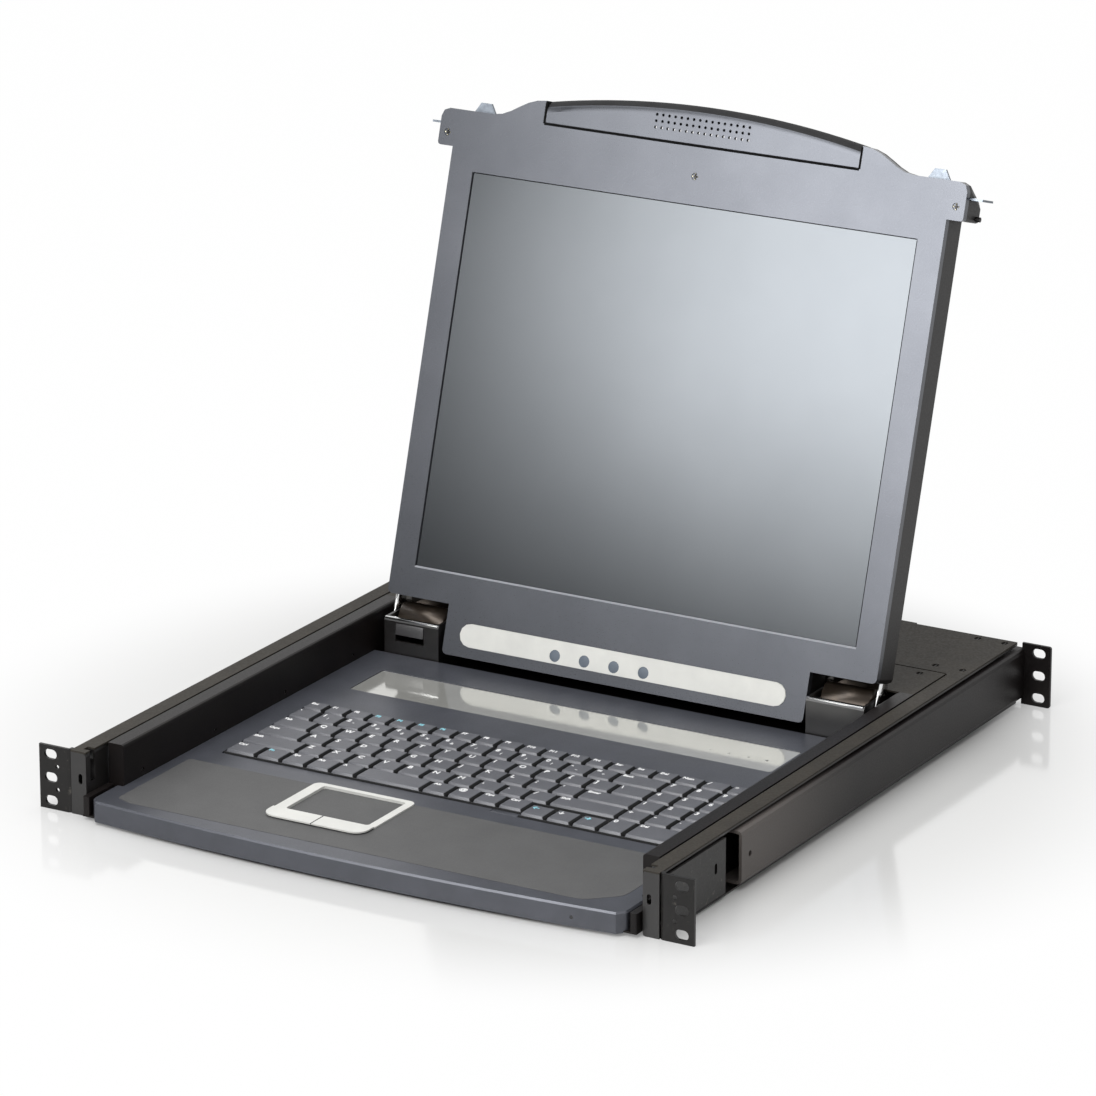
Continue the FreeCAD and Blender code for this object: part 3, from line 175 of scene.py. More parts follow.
card_middle = Vector((-0.556, -0.628, 0.456))
card_right = Vector((0.879, -0.476, 0)).normalized()
card_up = Vector((0.105, 0.195, 0.975)).normalized()
card_half = 0.95
card_lift = 0.12
card_strength = 8.0
card_dark = 0.02
card_face, tree = blank("graded_card")
place = add(tree, "TexCoord", {}).outputs["Object"]
across = add(tree, "VectorMath", {"operation": "DOT_PRODUCT", 1: card_right}, {0: place})
along = add(tree, "VectorMath", {"operation": "DOT_PRODUCT", 1: card_up}, {0: place})
right_middle = card_middle.dot(card_right)
up_middle = card_middle.dot(card_up)
sweep = smooth_step(tree, across.outputs["Value"], right_middle - 0.32, right_middle + 0.12, card_dark, 1.0)
rise = smooth_step(tree, along.outputs["Value"], up_middle - 0.25, up_middle + 0.10, card_dark, 1.0)
both = add(tree, "Math", {"operation": "MULTIPLY"}, {0: sweep, 1: rise})
strength = add(tree, "Math", {"operation": "MULTIPLY", 1: card_strength}, {0: both.outputs["Value"]})
glow = add(tree, "Emission", {"Color": (1, 1, 1, 1)}, {"Strength": strength.outputs["Value"]})
add(tree, "OutputMaterial", {}, {"Surface": glow.outputs["Emission"]})
shape = bmesh.new()
bmesh.ops.create_grid(shape, x_segments=1, y_segments=1, size=card_half)
turn = Matrix((card_right, card_up, card_right.cross(card_up))).transposed().to_4x4()
lift = Matrix.Translation(card_middle + card_lift * card_up)
bmesh.ops.transform(shape, matrix=lift @ turn, verts=shape.verts)
reflector = flat_piece("reflector_card", shape, card_face)
reflector.visible_camera = False
reflector.visible_diffuse = False
reflector.visible_shadow = False

camera = bpy.data.objects.new("camera", bpy.data.cameras.new("camera"))
camera.location = (1.950, -3.118, 1.4122)
camera.rotation_euler = (math.radians(71.67), 0, math.radians(30.16))
camera.data.lens = 205.95
camera.data.clip_end = 60
bpy.context.scene.collection.objects.link(camera)
bpy.context.scene.camera = camera

# ---- Chassis, brackets, rails and drawer sheet metal
# Bent steel sheet with a black powder coat, riveted and screwed together.  The
# powder melts into a fine orange peel, so the black is satin and a little warm,
# and small scuffs from the rack show where the ears are handled.


def finish(name, dark, light, settings, cloud_size=22 * MM):
    """Starts a material whose colour drifts between two near shades.

    Returns the material, its tree, its shader and its coordinates."""
    surface, tree = blank(name)
    shader = add(tree, "BsdfPrincipled", settings)
    add(tree, "OutputMaterial", {}, {"Surface": shader.outputs["BSDF"]})
    place = add(tree, "TexCoord", {}).outputs["Object"]
    cloud = add(tree, "TexNoise", {"Scale": 1 / cloud_size, "Detail": 4, "Roughness": 0.6},
                {"Vector": place})
    colour = add(tree, "ValToRGB", {"ramp": [(0.3, dark), (0.7, light)]}, {"Fac": cloud.outputs["Fac"]})
    tree.links.new(colour.outputs["Color"], shader.inputs["Base Color"])
    return surface, tree, shader, place


def grain(tree, shader, place, size, depth, low, high, stretch=(1, 1, 1)):
    """Fine grain of one size: bump of that depth, and gloss that wanders between two roughnesses."""
    drawn = add(tree, "Mapping", {"Scale": stretch}, {"Vector": place})
    fine = add(tree, "TexNoise", {"Scale": 1 / size, "Detail": 2}, {"Vector": drawn.outputs["Vector"]})
    bump = add(tree, "Bump", {"Distance": depth, "Strength": 0.6}, {"Height": fine.outputs["Fac"]})
    gloss = add(tree, "MapRange", {"From Min": 0.3, "From Max": 0.7, "To Min": low, "To Max": high},
                {"Value": fine.outputs["Fac"]})
    tree.links.new(bump.outputs["Normal"], shader.inputs["Normal"])
    tree.links.new(gloss.outputs["Result"], shader.inputs["Roughness"])


def lay_over(tree, shader, code, share):
    """Shows another colour over the base colour, as far as the share goes."""
    under = shader.inputs["Base Color"].links[0].from_socket
    mixed = add(tree, "Mix", {"data_type": "RGBA", 7: linear(code)}, {0: share, 6: under})
    tree.links.new(mixed.outputs[2], shader.inputs["Base Color"])


def wear(surface, *nodes):
    """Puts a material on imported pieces."""
    for node in nodes:
        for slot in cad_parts[node].material_slots:
            slot.link = "OBJECT"
            slot.material = surface


# Orange peel of about 1.2 mm catches light as a faint sparkle on the satin black.
peel_size = 1.2 * MM
peel_depth = 0.03 * MM
powder, tree, shader, place = finish("powder_coat_black", "#0e0c0c", "#151312", {"IOR": 1.62})
grain(tree, shader, place, peel_size, peel_depth, 0.30, 0.40)
wear(powder, "chassis_base", "side_channel_left", "side_channel_right",
     "hinge_pedestal_left", "hinge_pedestal_right")
# The long rails and the drawer's walls have a drier coat with less gloss and a brown cast.
dry_coat = ("#0e0b0b", "#151110", {"IOR": 1.5, "Specular IOR Level": 0.2})
dry_powder, tree, shader, place = finish("powder_coat_dry", *dry_coat)
grain(tree, shader, place, peel_size, peel_depth, 0.34, 0.46)
wear(dry_powder, "drawer_wall_left", "drawer_wall_right", "drawer_tray")
# The rails are painted lighter grey at the front, fading towards the rear: a painted reflection of the
# bright room along their sides.
rail_painted_sheen_powder, tree, shader, place = finish("powder_coat_painted_sheen", *dry_coat)
grain(tree, shader, place, peel_size, peel_depth, 0.34, 0.46)
rail_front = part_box("rear_rail_right")[0][1]
sheen_reach = 170 * MM
# Painted reflection: the grey lies over the front of the rails and fades out over the reach.
along = add(tree, "SeparateXYZ", {}, {0: place})
painted_sheen_share = smooth_step(tree, along.outputs["Y"], rail_front, rail_front + sheen_reach, 0.9, 0.0)
lay_over(tree, shader, "#57524f", painted_sheen_share)
wear(rail_painted_sheen_powder, "rear_rail_left", "rear_rail_right")

# The wide covers have a coarser, drier powder, which looks flat and brownish at a low angle.
cover_powder, tree, shader, place = finish("powder_coat_matt", "#26231e", "#2f2b25",
                                           {"IOR": 1.5, "Specular IOR Level": 0.22})
grain(tree, shader, place, 1.6 * MM, 0.05 * MM, 0.55, 0.70)
wear(cover_powder, "top_cover", "drawer_rear_cover")

# Rubbed patches on the ears let the grey primer through where rack screws turned.
ear_powder, tree, shader, place = finish("powder_coat_scuffed", "#0f0e0d", "#161413",
                                         {"IOR": 1.5, "Specular IOR Level": 0.3})
grain(tree, shader, place, peel_size, peel_depth, 0.30, 0.42)
patch_size = 5 * MM
patches = add(tree, "TexNoise", {"Scale": 1 / patch_size, "Detail": 6, "Roughness": 0.75},
              {"Vector": place})
worn = add(tree, "MapRange", {"From Min": 0.60, "From Max": 0.70, "To Max": 0.75},
           {"Value": patches.outputs["Fac"]})
lay_over(tree, shader, "#5d5953", worn.outputs["Result"])
wear(ear_powder, "front_bracket_left", "front_bracket_right")

# ---- Slides, latches, hinge pins and small bright parts
# Zinc-plated rolled strip and turned pins.  The bath leaves the plate bright and
# a little cloudy, and rolling leaves fine streaks along the strip.

# Streaks along y, 0.4 mm wide, stretch the highlights on the slides and the supply's box.
zinc, tree, shader, place = finish("zinc_plated_strip", "#abaeb1", "#b7babc", {"Metallic": 1.0}, 14 * MM)
grain(tree, shader, place, 0.4 * MM, 0.002 * MM, 0.28, 0.34, (1, 0.06, 1))
wear(zinc, "slide_outer_left", "slide_outer_right", "slide_middle_left", "slide_middle_right",
     "slide_inner_left", "slide_inner_right", "power_supply")
# Turned and stamped parts come out of the bath duller and bluer, so they stand out as grey on white.
dull_zinc, tree, shader, place = finish("zinc_plated_stamping", "#5c6168", "#7b8188",
                                        {"Metallic": 1.0}, 5 * MM)
grain(tree, shader, place, 0.8 * MM, 0.006 * MM, 0.36, 0.46)
wear(dull_zinc, "latch_left", "latch_right", "hinge_pins")

# ---- Rear electronics
# Two epoxy boards, one in the rear housing and one behind the screen.  The inlet,
# the rocker and the data sockets are glass-filled polyester, fixed in the rear panel.

# Solder mask over woven glass: a dark green with a faint 1.2 mm weave.
board, tree, shader, place = finish("solder_mask_on_glass_board", "#0e3d22", "#17502f", {"IOR": 1.5})
grain(tree, shader, place, 1.2 * MM, 0.02 * MM, 0.3, 0.45)
wear(board, "control_board", "lcd_control_board")
# Fine moulded grain keeps the sockets a soft black.
socket, tree, shader, place = finish("polyester_moulding_black", "#121214", "#1b1b1d", {"IOR": 1.55})
grain(tree, shader, place, 0.7 * MM, 0.02 * MM, 0.4, 0.55)
wear(socket, "power_inlet", "rear_ports", "power_rocker")

# ---- Screws
# Pan-head steel screws with a cross recess.  The covers and the drawer have blackened ones, and the lid has
# small ones with a pale brass top, whose rims and recesses are blackened steel as painted shade.
# Inset and waist are shares of a head's radius, floor is a share of the recess, and
# depth and round are shares of the head's height.
recess_inset = 0.42
recess_waist = 0.36
recess_depth = 0.55
recess_floor = 0.7
head_round = 0.35
# Faces that look up at least this squarely have the first finish, and the rest, the rim and the cross
# recess, have the second, which on the lid's brass screws is painted shade.
top_facing = 0.8


def welded(node):
    """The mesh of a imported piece, with the double points along its seams joined."""
    shape = bmesh.new()
    shape.from_mesh(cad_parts[node].data)
    bmesh.ops.remove_doubles(shape, verts=shape.verts, dist=0.001 * MM)
    return shape


def islands(shape):
    """The points of each separate piece in a mesh, one list per piece."""
    left = set(shape.verts)
    for start in shape.verts:
        if start in left:
            left.remove(start)
            group = [start]
            for vert in group:
                others = [edge.other_vert(vert) for edge in vert.link_edges]
                fresh = [other for other in others if other in left]
                left.difference_update(fresh)
                group.extend(fresh)
            yield group


def round_edges(shape, edges, width, steps=2):
    """Rounds these edges over that width, in that many steps."""
    bmesh.ops.bevel(shape, geom=edges, offset=width, segments=steps, profile=0.5,
                    affect="EDGES", material=-1)


def new_points(result):
    """The points among what an extrusion made."""
    return [part for part in result["geom"] if isinstance(part, bmesh.types.BMVert)]


def add_skirt(shape, depth, rounding, sides):
    """Draws a wall down from a disc's open rim, rounds the rim and closes the foot."""
    rim = [edge for edge in shape.edges if edge.is_boundary]
    wall = bmesh.ops.extrude_edge_only(shape, edges=rim)
    bmesh.ops.translate(shape, verts=new_points(wall), vec=(0, 0, -depth))
    round_edges(shape, rim, rounding, 3)
    bmesh.ops.holes_fill(shape, edges=[edge for edge in shape.edges if edge.is_boundary], sides=sides)
    bmesh.ops.recalc_face_normals(shape, faces=shape.faces)


def smooth(piece, angle=40):
    """Shades a piece smooth and leaves the edges that are sharper than the angle crisp."""
    piece.data.shade_smooth()
    piece.data.set_sharp_from_angle(angle=math.radians(angle))


def screw_head(radius, height):
    """One pan head about its own axis, with its top at zero; rim and recess have the second material, for
    painted shade.
    """
    head = bmesh.new()
    sides = 24
    bmesh.ops.create_circle(head, cap_ends=True, segments=sides, radius=radius)
    head.faces.ensure_lookup_table()
    face = head.faces[0]
    bmesh.ops.inset_region(head, faces=[face], thickness=radius * recess_inset, depth=0)
    # Points between the arms of the cross move in to its waist.
    for vert in face.verts:
        quarter = round(math.degrees(math.atan2(vert.co.y, vert.co.x))) % 90
        if 20 < quarter < 70:
            vert.co *= recess_waist
    recess = bmesh.ops.extrude_face_region(head, geom=[face])
    for part in recess["geom"]:
        if isinstance(part, bmesh.types.BMFace):
            part.material_index = 1
    bmesh.ops.delete(head, geom=[face], context="FACES_ONLY")
    bmesh.ops.translate(head, verts=new_points(recess), vec=(0, 0, -recess_depth * height))
    bmesh.ops.scale(head, verts=new_points(recess), vec=(recess_floor, recess_floor, 1))
    add_skirt(head, height, head_round * height, sides)
    head.normal_update()
    for part in head.faces:
        if part.normal.z < top_facing:
            part.material_index = 1
    return head


def screw_heads(name, node, body, normal, surface, shade):
    """Puts a head over each packed head of a node, with a second finish as painted shade on the rims and
    recesses.
    """
    packed = welded(node)
    turn = Vector(normal).to_track_quat("Z", "Y").to_matrix().to_4x4()
    shape = bmesh.new()
    for group in islands(packed):
        local = [turn.inverted() @ vert.co for vert in group]
        low = Vector([min(v[i] for v in local) for i in range(3)])
        high = Vector([max(v[i] for v in local) for i in range(3)])
        head = screw_head((high.x - low.x) / 2, high.z - low.z)
        spot = Vector(((low.x + high.x) / 2, (low.y + high.y) / 2, high.z))
        bmesh.ops.transform(head, matrix=turn @ Matrix.Translation(spot), verts=head.verts)
        single = bpy.data.meshes.new("head")
        head.to_mesh(single)
        head.free()
        shape.from_mesh(single)
        bpy.data.meshes.remove(single)
    packed.free()
    piece = flat_piece(name, shape, surface, shade)
    smooth(piece, 35)
    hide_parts(node)
    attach(piece, body)


# Blackened steel is a shade lighter than the powder coat and glints at its rim.
black_steel, tree, shader, place = finish("blackened_steel", "#1a1918", "#262422",
                                          {"Metallic": 0.6}, 3 * MM)
grain(tree, shader, place, 0.3 * MM, 0.005 * MM, 0.25, 0.4)
# Pale brass plate stands out as a warm dot on the grey paint.
brass, tree, shader, place = finish("pale_brass_plate", "#8f8b7a", "#a5a08c", {"Metallic": 1.0}, 3 * MM)
grain(tree, shader, place, 0.3 * MM, 0.004 * MM, 0.4, 0.5)
# The open lid leans back by 16.8 degrees, and its front faces this way.
lid_normal = Vector((0, -0.9571, 0.2896))
screw_heads("cover_screws", "chassis_screws", "chassis", (0, 0, 1), black_steel, black_steel)
screw_heads("wall_screws", "drawer_screws", "drawer", (0, 0, 1), black_steel, black_steel)
# The lid's screws get brass tops, with painted shade in blackened steel on their rims and recesses.
screw_heads("bezel_screws", "lid_screws", "lid", lid_normal, brass, black_steel)

# ---- Keyboard bezel, palm film and status window
# One ABS moulding in slate-blue metallic paint with a bowed front lip.  A matt
# film is glued over the palm rest, and a glossy grey window over the rear edge.

# Metal flake in the paint makes the blue-grey lighten towards the light.
slate, tree, shader, place = finish("slate_paint_on_ABS", "#44464c", "#4c4e55",
                                    {"IOR": 1.5, "Metallic": 0.35})
grain(tree, shader, place, 0.8 * MM, 0.015 * MM, 0.30, 0.40)
wear(slate, "keyboard_bezel")
# A fine etched film: neutral, nearly without gloss.
film, tree, shader, place = finish("etched_polycarbonate_film", "#3e3e3e", "#454545", {"IOR": 1.5})
grain(tree, shader, place, 0.6 * MM, 0.02 * MM, 0.50, 0.62)
wear(film, "palm_film", "touchpad_surface")
# Printed silver under clear film: smooth enough to mirror the strip above it.
window, tree, shader, place = finish("silver_print_under_clear_film", "#bdbdb8", "#c6c6c1",
                                     {"IOR": 1.5, "Metallic": 0.6}, 60 * MM)
grain(tree, shader, place, 5 * MM, 0.002 * MM, 0.05, 0.09)
wear(window, "status_strip")
# The lamp lens is smoked, so it is dark until it is lit.
lens, tree, shader, place = finish("smoked_polycarbonate_lens", "#101012", "#18181b", {"IOR": 1.58})
grain(tree, shader, place, 0.6 * MM, 0.005 * MM, 0.08, 0.16)
wear(lens, "power_led")

# ---- Touchpad frame, buttons and the lid's control strip
# The ring round the touchpad, its two buttons and the strip behind the lid's
# controls: moulded ABS in warm silver paint, clipped into the grey mouldings around it.

# Fine flake, so the silver stays even and pale at every angle.
silver, tree, shader, place = finish("silver_paint_on_ABS", "#c4c4c0", "#cecec9", {"IOR": 1.5})
grain(tree, shader, place, 0.7 * MM, 0.012 * MM, 0.35, 0.45)
wear(silver, "touchpad_frame", "touchpad_button_left", "touchpad_button_right", "osd_strip")


def block(shape, size, middle=(0, 0, 0)):
    """Adds a block of that size round a point, and returns its corners."""
    corners = bmesh.ops.create_cube(shape, size=1)["verts"]
    bmesh.ops.scale(shape, vec=size, verts=corners)
    bmesh.ops.translate(shape, vec=middle, verts=corners)
    return corners


# A black rubber web closes the gap between the two buttons.
rubber, tree, shader, place = finish("black_rubber_web", "#0b0b0b", "#111111",
                                     {"IOR": 1.5, "Specular IOR Level": 0.3})
grain(tree, shader, place, 0.4 * MM, 0.005 * MM, 0.6, 0.7)
left_low, left_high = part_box("touchpad_button_left")
right_low, right_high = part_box("touchpad_button_right")
web_lap = 0.2 * MM
web_thick = 0.6 * MM
web_sink = 0.25 * MM
web_size = (right_low[0] - left_high[0] + 2 * web_lap, left_high[1] - left_low[1], web_thick)
web_middle = ((left_high[0] + right_low[0]) / 2, (left_low[1] + left_high[1]) / 2, left_high[2] - web_sink)
shape = bmesh.new()
block(shape, web_size, web_middle)
web = flat_piece("touchpad_button_web", shape, rubber)
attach(web, "drawer")

# ---- Keys
# Low tapered ABS caps over a black membrane plate.  Each cap is dished, its
# edges are rounded, and its legend is printed in white or light blue.

# Moulded grain of 0.5 mm dulls the tops, so the rounded fronts shine a little more.
cap_plastic, tree, shader, place = finish("grained_ABS_key", "#4d4e53", "#54555a", {"IOR": 1.5})
grain(tree, shader, place, 0.5 * MM, 0.012 * MM, 0.36, 0.50)
# The caps' side walls are painted near black as shade, for the dark gaps between the keys.
key_side_painted_shade, tree, shader, place = finish("key_side_painted_shade_ABS", "#09090a", "#101011",
                                           {"IOR": 1.5, "Specular IOR Level": 0.3})
grain(tree, shader, place, 0.5 * MM, 0.012 * MM, 0.50, 0.60)
# Ink stands a hair proud and is slightly uneven.
white_ink, tree, shader, place = finish("white_pad_print", "#d9d9d9", "#f2f2f2", {"IOR": 1.5}, 2 * MM)
grain(tree, shader, place, 0.4 * MM, 0.003 * MM, 0.4, 0.5)
blue_ink, tree, shader, place = finish("light_blue_pad_print", "#7fc3d0", "#9bd8e4", {"IOR": 1.5}, 2 * MM)
grain(tree, shader, place, 0.4 * MM, 0.003 * MM, 0.4, 0.5)
# The plate only shows as black lines between the caps.
membrane, tree, shader, place = finish("black_membrane_plate", "#070708", "#0c0c0d", {"IOR": 1.45})
grain(tree, shader, place, 0.9 * MM, 0.02 * MM, 0.6, 0.7)
wear(membrane, "keyboard_base")

# Widths along a row are in key widths.  The main block is 14.87 of them across, and the
# number pad has three more.
keys_low, keys_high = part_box("keys_row_numbers")
gap = 0.5 * MM
main_block = 14.87
keys_left = keys_low[0] - gap
unit = (keys_high[0] + gap - keys_left) / (main_block + 3)
cap_foot = keys_low[2]
cap_top = keys_high[2]
cap_taper = 1.3 * MM
cap_edge = 2.4 * MM
cap_dish = 0.18 * MM
cap_round = 0.7 * MM
# Walls that look sideways by more than this get the painted shade.
shaded_side_facing = 0.6


def key_cap(shape, left, right, front, back):
    """Adds one cap: a tapered block with rounded edges and a dished top, and painted shade on its side
    walls.
    """
    middle = Vector(((left + right) / 2, (front + back) / 2, (cap_foot + cap_top) / 2))
    size = Vector((right - left, back - front, cap_top - cap_foot))
    corners = block(shape, size)
    upper = [vert for vert in corners if vert.co.z > 0]
    bmesh.ops.scale(shape, vec=(1 - 2 * cap_taper / size.x, 1 - 2 * cap_taper / size.y, 1), verts=upper)
    bmesh.ops.translate(shape, vec=middle, verts=corners)
    top = [face for face in upper[0].link_faces if all(vert in upper for vert in face.verts)]
    rounded = list(dict.fromkeys(edge for vert in upper for edge in vert.link_edges))
    bmesh.ops.inset_region(shape, faces=top, thickness=cap_edge, depth=-cap_dish)
    round_edges(shape, rounded, cap_round)
    shape.normal_update()
    for face in shape.faces:
        if abs(face.normal.x) > shaded_side_facing:
            face.material_index = 1


# Capitals fill this share of the font's size.  Bold strokes swell a little, and all
# ink is sunk so that only the top of it stands proud.
capital_share = 0.73
ink_swell = 0.12 * MM
ink_half = 0.14 * MM
ink_sink = 0.12 * MM


def legend(shape, text, left, back, surface, height, thin=False):
    """Adds printed text with its top left corner at that place on a level surface."""
    curve = bpy.data.curves.new("legend", "FONT")
    curve.body = text
    curve.size = height / capital_share
    curve.offset = 0 if thin else ink_swell
    curve.extrude = ink_half
    curve.resolution_u = 2
    curve.align_x = "LEFT"
    holder = bpy.data.objects.new("legend", curve)
    mesh = bpy.data.meshes.new_from_object(holder)
    mesh.transform(Matrix.Translation((left, back - height, surface - ink_sink)))
    shape.from_mesh(mesh)
    bpy.data.objects.remove(holder)
    bpy.data.curves.remove(curve)
    bpy.data.meshes.remove(mesh)


# Widths and names of the keys in each row; a star marks a legend in light blue.
key_rows = {
    "function": ([main_block / 17] * 17 + [1] * 3,
                 "Esc F1 F2 *F3 *F4 *F5 *F6 F7 F8 F9 F10 F11 F12 Prt Scr Ins Del Num / *".split()),
    "numbers": ([1] * 13 + [1.87] + [1] * 3, "` 1 2 3 4 5 6 7 8 9 0 - = Back 7 8 9".split()),
    "upper": ([1.5] + [1] * 12 + [1.37] + [1] * 3, "Tab Q W E R T Y U I O P [ ] \\ 4 5 6".split()),
    "home": ([1.75] + [1] * 11 + [2.12] + [1] * 3, "Caps A S D F G H J K L ; ' Enter 1 2 3".split()),
    "lower": ([2.25] + [1] * 10 + [2.62] + [1] * 3, "Shift Z X C V B N M , . / Shift + - .".split()),
    "space": ([1.25] + [1] * 4 + [2.62] + [1] * 4 + [1] * 3 + [1, 2],
              ["Ctrl", "*Fn", "Sys", "Alt", "^", "", "Alt", "@", "Opt", "Ctrl",
               "*←", "↓", "*→", "0", "Del"]),
}
second = dict(zip("1234567890-=", "!\"#$%&/()?_+"))
step_back = 5 * MM
letter_height = 4.4 * MM
word_height = 2.9 * MM
second_height = 3 * MM
second_right = 5.5 * MM
second_down = 5 * MM
legend_inset = cap_taper + 1.7 * MM
first_arrow = 10
first_pad = 13
# The row and place of each key that has a joint of its own.
sprung = {("space", 5): "space_bar", ("home", 12): "enter_key"}
for row, (widths, names) in key_rows.items():
    node = "keys_row_" + row
    low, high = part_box(node)
    left = keys_left
    caps, white, blue = bmesh.new(), bmesh.new(), bmesh.new()
    for place_in_row, (width, text) in enumerate(zip(widths, names)):
        right = left + width * unit
        back = high[1]
        front = low[1]
        if row == "space" and place_in_row < first_arrow:
            front = low[1] + step_back
        elif row == "space" and place_in_row < first_pad:
            back = high[1] - step_back
        moving = sprung.get((row, place_in_row))
        target = bmesh.new() if moving else caps
        key_cap(target, left + gap, right - gap, front, back)
        ink = blue if text.startswith("*") and len(text) > 1 else white
        text = text.lstrip("*") if len(text) > 1 else text
        height = letter_height if len(text) == 1 else word_height
        own = bmesh.new() if moving else ink
        if text:
            legend(own, text, left + legend_inset, back - legend_inset, cap_top, height)
        if row == "numbers" and 0 < place_in_row <= len(second):
            legend(own, second[text], left + legend_inset + second_right, back - legend_inset - second_down,
                   cap_top, second_height, True)
        if moving:
            cap = flat_piece(moving.split("_")[0] + "_cap", target, cap_plastic, key_side_painted_shade)
            smooth(cap)
            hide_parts(moving)
            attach(cap, moving)
            if text:
                print_piece = flat_piece(moving.split("_")[0] + "_legend", own, white_ink)
                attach(print_piece, moving)
            else:
                own.free()
        left = right
    row_caps = flat_piece("caps_" + row, caps, cap_plastic, key_side_painted_shade)
    smooth(row_caps)
    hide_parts(node)
    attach(row_caps, "drawer")
    for ink_name, ink, surface in (("white", white, white_ink), ("blue", blue, blue_ink)):
        if len(ink.verts):
            prints = flat_piece("legends_" + ink_name + "_" + row, ink, surface)
            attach(prints, "drawer")
        else:
            ink.free()

# A black strip along the front foot of each row is painted shadow, where the caps' feet stand in shade.
arrows_start = 11.87
strip_thick = 0.6 * MM
strip_ahead = 0.4 * MM
strip_top = cap_top - 1.6 * MM
shape = bmesh.new()
for row in key_rows:
    low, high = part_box("keys_row_" + row)
    runs = [(low[0], high[0], low[1])]
    if row == "space":
        step = keys_left + arrows_start * unit
        runs = [(low[0], step - gap, low[1] + step_back), (step + gap, high[0], low[1])]
    for start, end, front in runs:
        block(shape, (end - start, strip_thick, strip_top - cap_foot),
              ((start + end) / 2, front - strip_ahead, (cap_foot + strip_top) / 2))
key_foot_painted_shadow = flat_piece("key_foot_painted_shadow_strips", shape, membrane)
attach(key_foot_painted_shadow, "drawer")

# The arrow keys start one key further right than the step in the moulding, and a
# lip of the same moulding fills the step up to them.
lip_lap = 1.5 * MM
lip_gap = 0.8 * MM
lip_thick = 1.6 * MM
lip_lift = 0.4 * MM
lip_round = 0.4 * MM
row_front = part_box("keys_row_space")[0][1]
fill_left = keys_left + (arrows_start - 1) * unit - lip_lap
fill_right = keys_left + arrows_start * unit - gap
fill_front = row_front - lip_lap
fill_back = row_front + step_back - lip_gap
shape = bmesh.new()
block(shape, (fill_right - fill_left, fill_back - fill_front, lip_thick),
      ((fill_left + fill_right) / 2, (fill_front + fill_back) / 2, cap_foot + lip_lift))
round_edges(shape, shape.edges, lip_round)
step_filler = flat_piece("recess_step_filler", shape, slate)
smooth(step_filler)
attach(step_filler, "drawer")

# ---- Marks on the status window
# Four small lock and lamp marks near its right end, printed in dark grey on the
# clear film.
grey_ink, tree, shader, place = finish("dark_grey_print", "#3d3d3c", "#4a4a49", {"IOR": 1.5}, 2 * MM)
grain(tree, shader, place, 0.4 * MM, 0.003 * MM, 0.3, 0.4)
window_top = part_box("status_strip")[1][2]
mark_left = 101 * MM
mark_pitch = 14 * MM
mark_back = 276 * MM
mark_height = 2.4 * MM
mark_lift = 0.04 * MM
marks = bmesh.new()
for count, sign in enumerate("1A↓#"):
    left = mark_left + count * mark_pitch
    legend(marks, sign, left, mark_back, window_top + mark_lift, mark_height, True)
window_marks = flat_piece("window_marks", marks, grey_ink)
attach(window_marks, "drawer")

# ---- Hinge: barrels, end plates, bright strips on the pedestals, release tab
# The barrels are oiled brown-black steel tubes, and the plates at their ends and
# the strips along the pedestals' front edges are polished stainless steel.

# Oil blackening leaves a brown sheen along the tubes.
oiled, tree, shader, place = finish("oil_blackened_steel", "#2a231d", "#3a3128", {"Metallic": 0.55}, 8 * MM)
grain(tree, shader, place, 0.5 * MM, 0.006 * MM, 0.34, 0.46, (0.1, 1, 1))
# Polished stainless is nearly a mirror, with fine lines across the strip.
stainless, tree, shader, place = finish("polished_stainless_steel", "#d2d3d3", "#e6e6e6",
                                        {"Metallic": 1.0}, 10 * MM)
grain(tree, shader, place, 0.3 * MM, 0.004 * MM, 0.12, 0.2, (1, 0.1, 1))
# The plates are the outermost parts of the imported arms, past this distance from the middle.
plate_side = 184.9 * MM
for name, surface, keep in (("hinge_barrels", oiled, False), ("hinge_end_plates", stainless, True)):
    shape = welded("hinge_arms")
    dropped = [vert for vert in shape.verts if (abs(vert.co.x) > plate_side) != keep]
    bmesh.ops.delete(shape, geom=dropped, context="VERTS")
    piece = flat_piece(name, shape, surface)
    smooth(piece, 50)
    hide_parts("hinge_arms")
    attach(piece, "lid")

trim_short = 1 * MM
trim_deep = 3.2 * MM
trim_thick = 1.3 * MM
trim_back = 1.3 * MM
trim_sink = 0.35 * MM
trim_round = 0.3 * MM
for side in ("left", "right"):
    low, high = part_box("hinge_pedestal_" + side)
    shape = bmesh.new()
    block(shape, (high[0] - low[0] - trim_short, trim_deep, trim_thick),
          ((low[0] + high[0]) / 2, low[1] + trim_back, high[2] - trim_sink))
    round_edges(shape, shape.edges, trim_round)
    strip = flat_piece("pedestal_strip_" + side, shape, stainless)
    smooth(strip)
    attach(strip, "drawer")

# The tab is a tongue of grained black acetal that leans out of its window.
acetal, tree, shader, place = finish("grained_acetal_dark", "#39393a", "#444344", {"IOR": 1.48})
grain(tree, shader, place, 0.6 * MM, 0.02 * MM, 0.3, 0.42)
low, high = (Vector(corner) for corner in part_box("release_tab"))
tongue_thick = 1.9 * MM
tongue_lean = 1.0 * MM
tongue_short = 1.5 * MM
tongue_round = 0.5 * MM
middle = (low + high) / 2
shape = bmesh.new()
corners = block(shape, (high.x - low.x, tongue_thick, high.z - low.z), middle)
toe = [vert for vert in corners if vert.co.z < middle.z]
bmesh.ops.translate(shape, vec=(0, -tongue_lean, tongue_short), verts=toe)
round_edges(shape, shape.edges, tongue_round)
tongue = flat_piece("release_tongue", shape, acetal)
smooth(tongue)
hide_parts("release_tab")
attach(tongue, "release_tab")

